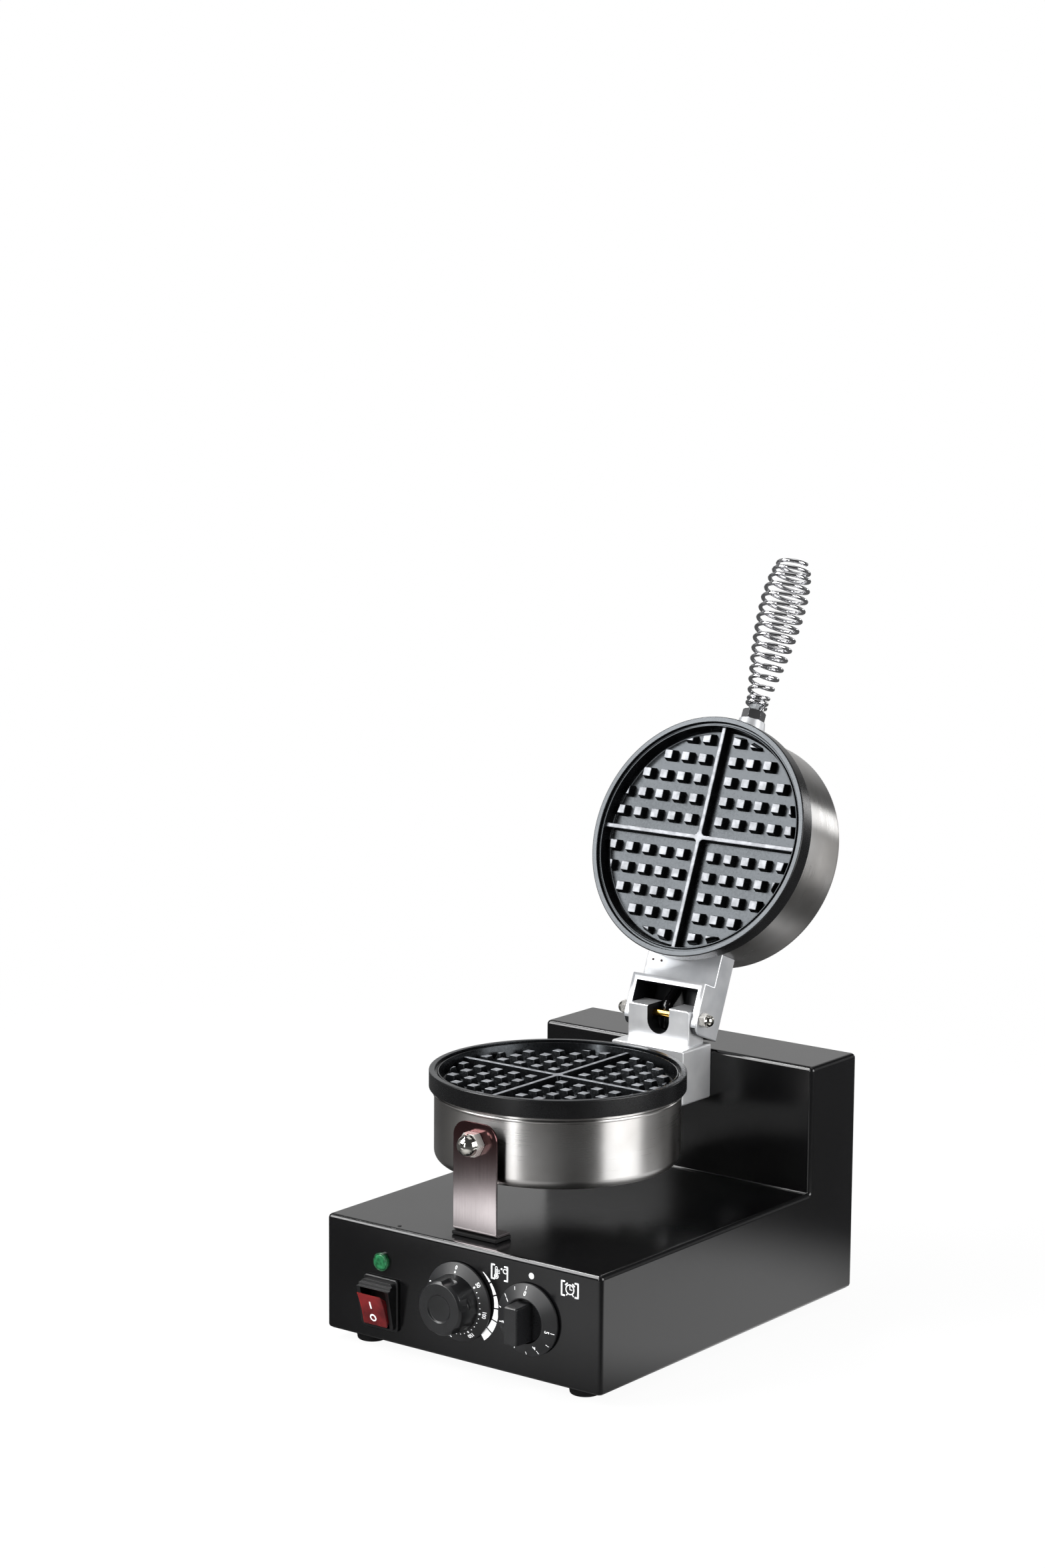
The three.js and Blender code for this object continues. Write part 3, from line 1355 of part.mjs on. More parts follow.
for (const [side, x] of [['left', -1], ['right', 1]]) {
  const nut = domedNut(pin_nut_flats, pin_nut_height, pin_nut_dome, pin_radius + seat, pin_end + seat);
  add(lid, `hinge_cap_nut_${side}`, nut.rotateY(x * Math.PI / 2).translate(x * (ear_outer + seat), 0, 0),
    chrome);
  const bolt = socketBolt(bolt_radius, bolt_head_radius, bolt_head_height, arm_bolt_grip);
  add(lid, `arm_bolt_${side}`, alongY(bolt).translate(x * arm_bolt_x,
    pan_front + innerWall(arm_bolt_x, bolt_head_radius), arm_bolt_rise), zinc_steel);
}

// Handle on the front of the upper shell
const handle = new THREE.Group();
handle.position.set(0, pan_front - shell_radius, joint_level + handle_above_joint);
handle.rotation.x = Math.PI / 2 - THREE.MathUtils.degToRad(handle_tilt);
lid.add(handle);
const panInHandle = cylinder(shell_radius + seat, -parting_height, parting_height, 2 * ring_sides)
  .translate(0, shell_radius, 0).rotateX(-handle.rotation.x);
add(handle, 'handle_seat', cut(handleSeat(), panInHandle), cast_aluminium);
const handleNutPiece = handleNut().rotateZ(THREE.MathUtils.degToRad(handle_nut_turn));
add(handle, 'handle_nut', handleNutPiece, chrome);
add(handle, 'handle_plug', handlePlug(), zinc_steel);
add(handle, 'handle_spring', handleSpring(), chrome);

// Front panel controls
add(body, 'lamp_lens', lampLens(), green_plastic);
add(body, 'lamp_bezel', lampBezel(), green_plastic);
add(body, 'lamp_body', lampBody(), white_plastic);
add(body, 'switch_frame', switchFrame(), black_plastic);
add(body, 'switch_body', switchBody(), black_plastic);
const rocker = add(body, 'switch_rocker', switchRocker(), red_plastic);
rocker.position.set(switch_x, -rocker_pivot_out, switch_z);
const controls = [
  ['temperature', dial_x, dial_z, temperatureKnob],
  ['timer', timer_x, timer_z, timerKnob],
];
for (const [name, x, z, knob] of controls) {
  const axis = new THREE.Group();
  axis.position.set(x, 0, z);
  axis.rotation.x = Math.PI / 2;
  body.add(axis);
  add(axis, `${name}_knob`, knob(), black_plastic);
  add(axis, `${name}_shaft`, knobShaft(), zinc_steel);
}
add(body, 'thermostat', thermostatBody(), dark_steel);
add(body, 'timer_clockwork', timerBody(), white_plastic);
add(body, 'timer_bell', timerBell(), chrome);
add(body, 'cord_gland', cordGland(), black_plastic);
add(body, 'gland_nut', glandNut(), black_plastic);
add(body, 'terminal_block', terminalBlock(), white_plastic);

// The origin goes under the middle of the whole machine
machine.updateMatrixWorld(true);
const bounds = new THREE.Box3().setFromObject(machine, true);
machine.position.y = -(bounds.min.y + bounds.max.y) / 2;
console.log(`least gap in the handle's coil: ${coilGap().toFixed(2)} mm`);

export default machine;
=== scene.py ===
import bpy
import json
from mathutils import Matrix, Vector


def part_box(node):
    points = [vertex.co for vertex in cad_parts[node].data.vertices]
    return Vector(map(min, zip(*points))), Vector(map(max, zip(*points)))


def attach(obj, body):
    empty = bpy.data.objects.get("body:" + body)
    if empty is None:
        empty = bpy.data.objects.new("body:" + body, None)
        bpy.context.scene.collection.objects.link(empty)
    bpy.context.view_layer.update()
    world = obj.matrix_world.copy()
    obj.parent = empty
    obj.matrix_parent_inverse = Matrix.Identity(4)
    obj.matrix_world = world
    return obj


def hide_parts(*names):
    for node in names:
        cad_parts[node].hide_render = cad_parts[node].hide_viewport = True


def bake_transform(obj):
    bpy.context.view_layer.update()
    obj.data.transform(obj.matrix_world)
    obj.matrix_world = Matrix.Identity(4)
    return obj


bl_info = {
    "name": "Waffle maker",
    "version": (1, 0, 0),
    "blender": (4, 5, 0),
    "location": "View3D > Sidebar > Waffle maker",
    "description": "Dresses the packed waffle maker: case, moulds, pans, hinge, handle and panel",
    "category": "Object",
}

import json
import math

import bpy
from mathutils import Matrix, Vector

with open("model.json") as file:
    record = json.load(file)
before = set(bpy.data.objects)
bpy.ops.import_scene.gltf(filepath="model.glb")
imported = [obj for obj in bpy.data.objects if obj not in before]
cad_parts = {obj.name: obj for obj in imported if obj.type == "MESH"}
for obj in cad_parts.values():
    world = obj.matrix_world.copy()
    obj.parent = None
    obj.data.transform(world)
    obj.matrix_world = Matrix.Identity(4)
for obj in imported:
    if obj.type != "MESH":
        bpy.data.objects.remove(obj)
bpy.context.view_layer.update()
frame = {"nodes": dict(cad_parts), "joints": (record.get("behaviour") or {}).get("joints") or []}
case_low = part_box("housing")[0]
joints = {joint["name"]: joint for joint in frame["joints"]}
hinge_point = Vector(joints["lid_hinge"]["pos_m"])
open_angle = math.radians(joints["lid_hinge"]["range_deg"][1])
to_case = Matrix.Translation((0, case_low.y, case_low.z))
to_lid = Matrix.Translation(hinge_point) @ Matrix.Rotation(-open_angle, 4, "X")
mm = 0.001

# Sizes in millimetres that several pieces share
half_width = 127.75
depth = 333.6
mould_radius = 96.8
mould_floor = -11.5
shell_radius = 92.8
pan_reach = 140
parting_height = 197.2
hinge_rise = 17
lid_gap = 0.4
pan_y = 257 - pan_reach
dial_z = 45.6
timer_x = 64
timer_z = 44.8
lamp_z = 61.3
switch_x = -73.5
switch_z = 26.8
stud_z = 160.7
gland_x = 70
gland_z = 36
ink = 0.12  # thickness of printed marks

groups = {}
finishes = {}


# ---- Places


def at(x, y, z):
    """A shift in millimetres."""
    return Matrix.Translation((x * mm, y * mm, z * mm))


def rotated(degrees, axis):
    return Matrix.Rotation(math.radians(degrees), 4, axis)


facing_user = rotated(90, "X")
to_lower_pan = to_case @ at(0, pan_y, parting_height)
to_upper_pan = to_lid @ at(0, -pan_reach, lid_gap - hinge_rise) @ rotated(180, "X")
to_handle = (
    to_lid @ at(0, -pan_reach - shell_radius, lid_gap - hinge_rise + 40) @ rotated(87, "X")
)


def facing(x, y, z):
    """The place of something on the case that faces the user."""
    return to_case @ at(x, y, z) @ facing_user


def direction(azimuth, elevation):
    """The unit vector towards an azimuth and an elevation in degrees."""
    a, e = math.radians(azimuth), math.radians(elevation)
    return Vector((math.cos(a) * math.cos(e), math.sin(a) * math.cos(e), math.sin(e)))


# ---- Modelling steps


def pick(obj):
    bpy.ops.object.select_all(action="DESELECT")
    obj.select_set(True)
    bpy.context.view_layer.objects.active = obj


def edit(obj, kind="VERT"):
    pick(obj)
    bpy.ops.object.mode_set(mode="EDIT")
    bpy.ops.mesh.select_mode(type=kind)
    bpy.ops.mesh.select_all(action="SELECT")


def leave_edit():
    bpy.ops.object.mode_set(mode="OBJECT")


def edit_faces(obj, test):
    """Opens a piece for editing with just the faces selected that pass a test."""
    edit(obj, "FACE")
    bpy.ops.mesh.select_all(action="DESELECT")
    leave_edit()
    for face in obj.data.polygons:
        face.select = test(face)
    pick(obj)
    bpy.ops.object.mode_set(mode="EDIT")


def pull(x, y, z):
    bpy.ops.mesh.extrude_region_move(TRANSFORM_OT_translate={"value": (x * mm, y * mm, z * mm)})


def outline(name, points, filled=True):
    """A closed outline: a circle primitive whose corners go to the points, in millimetres."""
    bpy.ops.object.select_all(action="DESELECT")
    bpy.ops.mesh.primitive_circle_add(
        vertices=len(points), fill_type="NGON" if filled else "NOTHING"
    )
    obj = bpy.context.object
    obj.name = obj.data.name = name
    for vertex, point in zip(obj.data.vertices, points):
        vertex.co = Vector(point) * mm
    return obj


def clean(obj):
    edit(obj)
    bpy.ops.mesh.remove_doubles(threshold=0.000002)
    bpy.ops.mesh.dissolve_degenerate(threshold=0.000002)
    bpy.ops.mesh.normals_make_consistent(inside=False)
    leave_edit()
    return obj


def flatten(obj, merge, angle):
    """Merges near corners and takes out the edges that a flat face doesn't need."""
    edit(obj)
    bpy.ops.mesh.remove_doubles(threshold=merge)
    bpy.ops.mesh.dissolve_limited(angle_limit=math.radians(angle))
    leave_edit()


def turned(name, profile, steps=96):
    """A closed profile of (radius, height), spun about Z."""
    obj = outline(name, [(radius, 0, height) for radius, height in profile], filled=False)
    edit(obj)
    bpy.ops.mesh.spin(steps=steps, angle=2 * math.pi, center=(0, 0, 0), axis=(0, 0, 1))
    leave_edit()
    return clean(obj)


def rod(radius, low, high, steps, name="hole"):
    return turned(name, [(0, low), (radius, low), (radius, high), (0, high)], steps)


def prism(name, shape, axis, start, length):
    """A flat shape that starts somewhere along an axis (0 to 2) and is pulled along it."""
    obj = outline(name, [(*spot[:axis], start, *spot[axis:]) for spot in shape])
    edit(obj)
    pull(*(length * (axis == i) for i in range(3)))
    leave_edit()
    return clean(obj)


def wire(name, kind, points, radius, rings, **values):
    """A round tube through points in metres, as a mesh."""
    curve = bpy.data.curves.new(name, "CURVE")
    curve.dimensions = "3D"
    line = curve.splines.new(kind)
    line.points.add(len(points) - 1)
    for spot, point in zip(line.points, points):
        spot.co = (*point, 1)
    for key, value in values.items():
        setattr(line, key, value)
    curve.bevel_depth = radius * mm
    curve.bevel_resolution = rings
    curve.use_fill_caps = True
    obj = bpy.data.objects.new(name, curve)
    bpy.context.scene.collection.objects.link(obj)
    pick(obj)
    bpy.ops.object.convert(target="MESH")
    return clean(bpy.context.object)


def apply_modifier(obj, kind, **values):
    pick(obj)
    modifier = obj.modifiers.new(kind.lower(), kind)
    for key, value in values.items():
        setattr(modifier, key, value)
    bpy.ops.object.modifier_apply(modifier=modifier.name)


def rounded(obj, width, segments=3, angle=30):
    apply_modifier(
        obj, "BEVEL", width=width * mm, segments=segments, limit_method="ANGLE",
        angle_limit=math.radians(angle), miter_outer="MITER_ARC",
    )
    return obj


def cut(obj, *tools, operation="DIFFERENCE"):
    for tool in tools:
        apply_modifier(obj, "BOOLEAN", operation=operation, object=tool, solver="EXACT")
        bpy.data.objects.remove(tool)
    return obj


def trim(obj, tool):
    """Keeps what lies inside the tool."""
    return cut(obj, tool, operation="INTERSECT")


def joined(first, *others):
    bpy.ops.object.select_all(action="DESELECT")
    for other in others:
        other.select_set(True)
    first.select_set(True)
    bpy.context.view_layer.objects.active = first
    bpy.ops.object.join()
    return first


def copied(obj, name):
    twin = obj.copy()
    twin.data = obj.data.copy()
    twin.name = twin.data.name = name
    bpy.context.scene.collection.objects.link(twin)
    return twin


def moved(obj, place):
    obj.data.transform(place)
    return obj


def finish(obj, look, body, place=None, replaces=(), angle=35, weighted=True):
    """Puts a piece in place, shades it and hangs it on its body."""
    if place is not None:
        obj.data.transform(place)
    obj.data.materials.clear()
    obj.data.materials.append(finishes[look])
    pick(obj)
    bpy.ops.object.shade_smooth_by_angle(angle=math.radians(angle))
    if weighted:
        apply_modifier(obj, "WEIGHTED_NORMAL", keep_sharp=True, weight=80)
    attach(obj, body)
    if replaces:
        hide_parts(*replaces)
    return obj


def paint(obj, place, looks):
    """Gives faces another finish: the first look whose test passes.

    A test gets a face's middle, in millimetres, and its direction, both seen from the place.
    """
    back = place.inverted()
    turn = back.to_3x3()
    for look, _ in looks:
        obj.data.materials.append(finishes[look])
    for face in obj.data.polygons:
        spot, way = back @ face.center / mm, turn @ face.normal
        for index, (_, test) in enumerate(looks, 1):
            if test(spot, way):
                face.material_index = index
                break


def dressed_copy(node, name, look, body):
    """A merged copy of a CAD node."""
    obj = copied(frame["nodes"][node], name)
    obj.parent = None
    for key in list(obj.keys()):
        del obj[key]
    flatten(obj, 0.000005, 0.5)
    return finish(obj, look, body, replaces=[node])


def wrap(obj):
    """A UV map that runs around Z and up it, so that brushing follows the turning."""
    layer = obj.data.uv_layers.new(name="around")
    for face in obj.data.polygons:
        middle = math.atan2(face.center.y, face.center.x)
        for corner in face.loop_indices:
            spot = obj.data.vertices[obj.data.loops[corner].vertex_index].co
            angle = math.atan2(spot.y, spot.x) - middle
            angle = middle + math.atan2(math.sin(angle), math.cos(angle))
            layer.data[corner].uv = (angle / math.tau, spot.z + math.hypot(spot.x, spot.y) * 0.1)


def arc(centre, radius, start, end, steps):
    turns = (math.radians(start + (end - start) * i / steps) for i in range(steps + 1))
    return [
        (centre[0] + radius * math.cos(turn), centre[1] + radius * math.sin(turn))
        for turn in turns
    ]


def around(count, radius, start=0.0):
    return arc((0, 0), radius, start, start + 360, count)[:-1]


def round_box(left, right, low, high, radius, steps=5):
    x0, x1, y0, y1 = left + radius, right - radius, low + radius, high - radius
    corners = ((x1, y0), (x1, y1), (x0, y1), (x0, y0))
    return [
        point for i, corner in enumerate(corners)
        for point in arc(corner, radius, 90 * i - 90, 90 * i, steps)
    ]


def fillet(profile, radius_of, steps=4):
    """Rounds named corners of a (radius, height) profile."""
    out = []
    count = len(profile)
    for i, point in enumerate(profile):
        radius = radius_of.get(i, 0)
        if not radius:
            out.append(point)
            continue
        here = Vector(point)
        before = (Vector(profile[i - 1]) - here).normalized()
        after = (Vector(profile[(i + 1) % count]) - here).normalized()
        half = before.angle(after) / 2
        reach = radius / math.tan(half)
        centre = here + (before + after).normalized() * radius / math.sin(half)
        first = here + before * reach - centre
        last = here + after * reach - centre
        turn = first.angle_signed(last)
        for k in range(steps + 1):
            spoke = first.copy()
            spoke.rotate(Matrix.Rotation(-turn * k / steps, 2))
            out.append(tuple(centre + spoke))
    return out


# ---- Shader groups


def new_group(name, inputs, outputs):
    group = bpy.data.node_groups.new(name, "ShaderNodeTree")
    for label, kind, default in inputs:
        socket = group.interface.new_socket(name=label, in_out="INPUT", socket_type=kind)
        socket.default_value = default
    for label, kind in outputs:
        group.interface.new_socket(name=label, in_out="OUTPUT", socket_type=kind)
    return group, group.nodes.new("NodeGroupInput"), group.nodes.new("NodeGroupOutput")


def node(tree, kind, inputs=None, **values):
    made = tree.nodes.new(kind)
    for key, value in values.items():
        setattr(made, key, value)
    for key, value in (inputs or {}).items():
        if isinstance(value, bpy.types.NodeSocket):
            tree.links.new(value, made.inputs[key])
        else:
            made.inputs[key].default_value = value
    return made


def noise(tree, spot, scale, detail):
    inputs = {"Vector": spot, "Scale": scale, "Detail": detail}
    return node(tree, "ShaderNodeTexNoise", inputs).outputs[0]


def both(tree, a, b, operation):
    return node(tree, "ShaderNodeMath", {0: a, 1: b}, operation=operation).outputs[0]


def ramp(tree, value, start, end, first=0.0, last=1.0, way="LINEAR"):
    inputs = {"Value": value, "From Min": start, "From Max": end, "To Min": first, "To Max": last}
    return node(tree, "ShaderNodeMapRange", inputs, interpolation_type=way).outputs[0]


def mixed(tree, share, dark, light):
    inputs = {0: share, 6: dark, 7: light}
    return node(tree, "ShaderNodeMix", inputs, data_type="RGBA").outputs[2]


def make_touch_group(name, brushed):
    """Roughness and height: fine grain or long fine scratches, over broad soft patches."""
    number, vector = "NodeSocketFloat", "NodeSocketVector"
    if brushed:
        own = [("Stretch", vector, (30, 30, 2600)), ("Turn", vector, (0, 0, 0))]
    else:
        own = [("Scale", number, 900)]
    group, given, out = new_group(
        name, own + [("Low", number, 0.3), ("High", number, 0.5)],
        [("Roughness", number), ("Height", number)],
    )
    spot = node(group, "ShaderNodeTexCoord").outputs["Object"]
    if brushed:
        turn = node(
            group, "ShaderNodeVectorRotate", {"Vector": spot, "Rotation": given.outputs["Turn"]},
            rotation_type="EULER_XYZ",
        )
        stretch = node(
            group, "ShaderNodeVectorMath", {0: turn.outputs[0], 1: given.outputs["Stretch"]},
            operation="MULTIPLY",
        )
        fine = noise(group, stretch.outputs[0], 1.0, 3.0)
        broad = noise(group, spot, 22.0, 4.0)
    else:
        fine = noise(group, spot, given.outputs["Scale"], 4.0)
        broad = noise(group, spot, 14.0, 3.0)
    half = both(group, both(group, fine, broad, "ADD"), 0.5, "MULTIPLY")
    rough = ramp(group, half, 0.35, 0.65, given.outputs["Low"], given.outputs["High"])
    group.links.new(rough, out.inputs["Roughness"])
    group.links.new(fine, out.inputs["Height"])
    return group


def make_tint_group():
    """Colour that wanders between two shades in soft patches."""
    group, given, out = new_group(
        "patchy colour",
        [
            ("Dark", "NodeSocketColor", (0.1, 0.1, 0.1, 1)),
            ("Light", "NodeSocketColor", (0.2, 0.2, 0.2, 1)),
            ("Scale", "NodeSocketFloat", 20.0),
        ],
        [("Colour", "NodeSocketColor")],
    )
    spot = node(group, "ShaderNodeTexCoord").outputs["Object"]
    share = ramp(group, noise(group, spot, given.outputs["Scale"], 5.0), 0.38, 0.62)
    tint = mixed(group, share, given.outputs["Dark"], given.outputs["Light"])
    group.links.new(tint, out.inputs["Colour"])
    return group


def new_material(name):
    material = bpy.data.materials.new(name)
    material.use_nodes = True
    return material, material.node_tree, material.node_tree.nodes["Principled BSDF"]


def rgb(value):
    """A colour given as it looks on screen."""
    def linear(part):
        return part / 12.92 if part <= 0.04045 else ((part + 0.055) / 1.055) ** 2.4

    return tuple(linear(part) for part in value)


def surface(
    name, dark, light, low, high, bump, metallic, grain, patch, depth=0.00005,
    turn=(0, 0, 0), along=None, **sockets,
):
    """One finish: patchy colour, grain or brushing for roughness and bump, fixed shader values."""
    material, tree, shader = new_material(name)
    dark, light = (*rgb(dark), 1), (*rgb(light), 1)
    tint = node(
        tree, "ShaderNodeGroup", {"Dark": dark, "Light": light, "Scale": patch},
        node_tree=groups["tint"],
    )
    tree.links.new(tint.outputs["Colour"], shader.inputs["Base Color"])
    if isinstance(grain, tuple):
        kind, own = "brush", {"Stretch": grain, "Turn": turn}
    else:
        kind, own = "grain", {"Scale": grain}
    touch = node(
        tree, "ShaderNodeGroup", {**own, "Low": low, "High": high}, node_tree=groups[kind],
    )
    tree.links.new(touch.outputs["Roughness"], shader.inputs["Roughness"])
    if bump:
        relief = node(
            tree, "ShaderNodeBump",
            {"Height": touch.outputs["Height"], "Strength": bump, "Distance": depth},
        )
        tree.links.new(relief.outputs["Normal"], shader.inputs["Normal"])
    shader.inputs["Metallic"].default_value = metallic
    if along:
        way = node(tree, "ShaderNodeTangent", direction_type="UV_MAP", uv_map=along)
        tree.links.new(way.outputs["Tangent"], shader.inputs["Tangent"])
        shader.inputs["Anisotropic Rotation"].default_value = 0.25
    for key, value in sockets.items():
        shader.inputs[key.replace("_", " ")].default_value = value
    material.diffuse_color = light
    finishes[name] = material


# ---- Sizes and colours that a user would change


class WaffleCaseSettings(bpy.types.PropertyGroup):
    deck: bpy.props.FloatProperty(
        name="Deck height",
        description="Height of the deck over the case's lower edge, in millimetres",
        default=88.5, min=40, max=200,
    )
    tower: bpy.props.FloatProperty(
        name="Tower height",
        description="Height of the tower over the case's lower edge, in millimetres",
        default=188.0, min=80, max=300,
    )
    tower_front: bpy.props.FloatProperty(
        name="Tower front",
        description="Front of the tower behind the control panel, in millimetres",
        default=270.7, min=120, max=400,
    )
    fold: bpy.props.FloatProperty(
        name="Fold radius", description="Rounding of the folded edges, in millimetres",
        default=3.6, min=0.5, max=10,
    )
    paint: bpy.props.FloatVectorProperty(
        name="Paint", description="Colour of the case as it looks on screen", subtype="COLOR",
        default=(0.043, 0.043, 0.047), min=0, max=1,
    )


class WaffleMouldSettings(bpy.types.PropertyGroup):
    ribs: bpy.props.FloatProperty(
        name="Rib drop", description="Top of the crossed ribs below the rim, in millimetres",
        default=4.45, min=1, max=10,
    )
    peg: bpy.props.FloatProperty(
        name="Peg height", description="Height of the pegs over the floor, in millimetres",
        default=6.5, min=2, max=12,
    )
    pitch: bpy.props.FloatProperty(
        name="Peg pitch", description="Distance between neighbouring pegs, in millimetres",
        default=16.3, min=8, max=30,
    )
    coating: bpy.props.FloatVectorProperty(
        name="Coating", description="Colour of the moulds' coating as it looks on screen",
        subtype="COLOR", default=(0.04, 0.042, 0.048), min=0, max=1,
    )


class WaffleStageSettings(bpy.types.PropertyGroup):
    floor: bpy.props.FloatVectorProperty(
        name="Floor", description="Colour of the floor", subtype="COLOR",
        default=(0.96, 0.96, 0.96), min=0, max=1,
    )
    key: bpy.props.FloatProperty(
        name="Lamps", description="Brightness of all the lamps", default=1.0, min=0, max=5,
    )
    mirrored: bpy.props.FloatProperty(
        name="Mirrored floor", description="Brightness of the floor in reflections",
        default=1.0, min=0, max=3,
    )
    surround: bpy.props.FloatProperty(
        name="Surroundings", description="Brightness of the dark surroundings in reflections",
        default=0.06, min=0, max=1,
    )


# ---- Finishes

# Per finish: name, dark and light shade as seen on screen, least and most roughness, bump,
# metallic, grain or stretch of the brushing, patches, and what else surface() takes
steel = (2600, 2600, 16)
shell_look = (
    (0.7, 0.69, 0.68), (0.78, 0.775, 0.77), 0.26, 0.36, 0.05, 1, (14, 14, 3200), 16,
)
finish_rows = (
    ("rim casting", (0.035, 0.036, 0.04), (0.055, 0.056, 0.062), 0.22, 0.34, 0.04, 0, 1300, 40,
     dict(depth=0.00004, Specular_IOR_Level=0.45)),
    ("machined rim", (0.05, 0.052, 0.058), (0.08, 0.083, 0.09), 0.24, 0.36, 0.1, 0, 900, 120,
     dict(depth=0.00006, Specular_IOR_Level=0.6, Specular_Tint=(0.88, 0.94, 1.0, 1))),
    # Painted highlight: a light finish on the moulds' peg and rib tops
    ("worn tops", (0.42, 0.43, 0.45), (0.56, 0.57, 0.59), 0.26, 0.4, 0.15, 0.1, 900, 150,
     dict(depth=0.00006, Specular_IOR_Level=0.5)),
    ("brushed shell", *shell_look, dict(along="around", Anisotropic=0.86)),
    ("brushed lid shell", *shell_look,
     dict(turn=(open_angle, 0, 0), along="around", Anisotropic=0.86)),
    ("bracket steel", (0.78, 0.745, 0.75), (0.85, 0.815, 0.82), 0.1, 0.17, 0.02, 1, steel, 12, {}),
    # Dark steel: the web screws, and painted shade on the support's back faces
    ("smoked steel", (0.12, 0.1, 0.1), (0.2, 0.17, 0.17), 0.3, 0.42, 0.02, 1, steel, 12, {}),
    # Painted shade: a dark casting finish for the hollows of the hinge
    ("shaded casting", (0.07, 0.072, 0.078), (0.13, 0.133, 0.14), 0.26, 0.4, 0.2, 0, 900, 40,
     dict(depth=0.00007, Specular_IOR_Level=0.22)),
    ("satin nickel", (0.82, 0.81, 0.79), (0.9, 0.89, 0.87), 0.2, 0.3, 0, 0.7, 500, 60, {}),
    ("blasted aluminium", (0.8, 0.81, 0.825), (0.88, 0.885, 0.895), 0.36, 0.48, 0.25, 0.82, 1500,
     30, dict(depth=0.00007)),
    ("milled aluminium", (0.86, 0.865, 0.875), (0.94, 0.943, 0.948), 0.3, 0.42, 0.25, 0.78,
     (40, 200, 1800), 26, {}),
    ("chrome", (0.84, 0.84, 0.85), (0.9, 0.9, 0.91), 0.04, 0.09, 0, 1, 300, 60, {}),
    ("nickel", (0.8, 0.79, 0.76), (0.88, 0.87, 0.84), 0.05, 0.1, 0, 1, 300, 60, {}),
    ("brass", (0.72, 0.52, 0.2), (0.88, 0.7, 0.34), 0.12, 0.22, 0.1, 1, (30, 2600, 2600), 60, {}),
    ("zinc", (0.55, 0.56, 0.57), (0.68, 0.69, 0.7), 0.26, 0.42, 0.1, 1, 900, 90, {}),
    ("oxidised steel", (0.2, 0.18, 0.17), (0.36, 0.33, 0.31), 0.4, 0.6, 0.2, 0.8, 800, 60, {}),
    ("rubber", (0.03, 0.03, 0.032), (0.06, 0.06, 0.064), 0.55, 0.75, 0.2, 0, 1400, 30,
     dict(Specular_IOR_Level=0.3)),
    ("glossy sleeve", (0.02, 0.02, 0.022), (0.045, 0.045, 0.05), 0.1, 0.18, 0.03, 0, 500, 30, {}),
    ("knob plastic", (0.06, 0.062, 0.067), (0.085, 0.087, 0.093), 0.24, 0.34, 0.08, 0, 1600, 50,
     dict(depth=0.00004)),
    ("skirt plastic", (0.08, 0.082, 0.088), (0.115, 0.117, 0.124), 0.36, 0.48, 0.2, 0, 2400, 50,
     dict(depth=0.00004)),
    ("frame plastic", (0.045, 0.046, 0.05), (0.065, 0.066, 0.07), 0.3, 0.42, 0.08, 0, 1400, 50,
     dict(depth=0.00004)),
    ("red rocker", (0.28, 0.05, 0.06), (0.42, 0.09, 0.1), 0.2, 0.3, 0.04, 0, 600, 70,
     dict(Specular_IOR_Level=0.4, Subsurface_Weight=0.1)),
    # The lens glows a little green: painted light
    ("green lens", (0.05, 0.28, 0.15), (0.14, 0.46, 0.28), 0.1, 0.2, 0, 0, 600, 400,
     dict(Coat_Weight=0.5, Emission_Color=(0.02, 0.22, 0.09, 1), Emission_Strength=0.1)),
    ("green collar", (0.08, 0.3, 0.18), (0.2, 0.5, 0.32), 0.05, 0.12, 0, 0, 600, 300,
     dict(Coat_Weight=0.8, Transmission_Weight=0.5)),
    # The print glows a little: painted light that keeps it bright where shade falls
    ("white print", (0.9, 0.905, 0.91), (0.96, 0.965, 0.97), 0.45, 0.6, 0, 0, 1200, 200,
     dict(Emission_Color=(1, 1, 1, 1), Emission_Strength=0.22)),
    ("off-white moulding", (0.78, 0.77, 0.72), (0.86, 0.85, 0.81), 0.4, 0.55, 0.1, 0, 1400, 60,
     {}),
)
kept_pieces = {
    "black paint": ["bottom_cover"],
    "oxidised steel": ["lower_heater", "upper_heater", "thermostat"],
    "zinc": [
        "lower_tie_bolt", "upper_tie_bolt", "bracket_stud", "bracket_spacer", "bracket_screw",
        "block_bolt_left", "block_bolt_right", "pan_bolt_left", "pan_bolt_right",
        "arm_bolt_left", "arm_bolt_right", "handle_plug", "temperature_shaft", "timer_shaft",
    ],
    "brass": ["sensor_bulb"],
    "chrome": ["timer_bell"],
    "frame plastic": ["switch_body", "gland_nut"],
    "off-white moulding": ["lamp_body", "timer_clockwork", "terminal_block"],
}


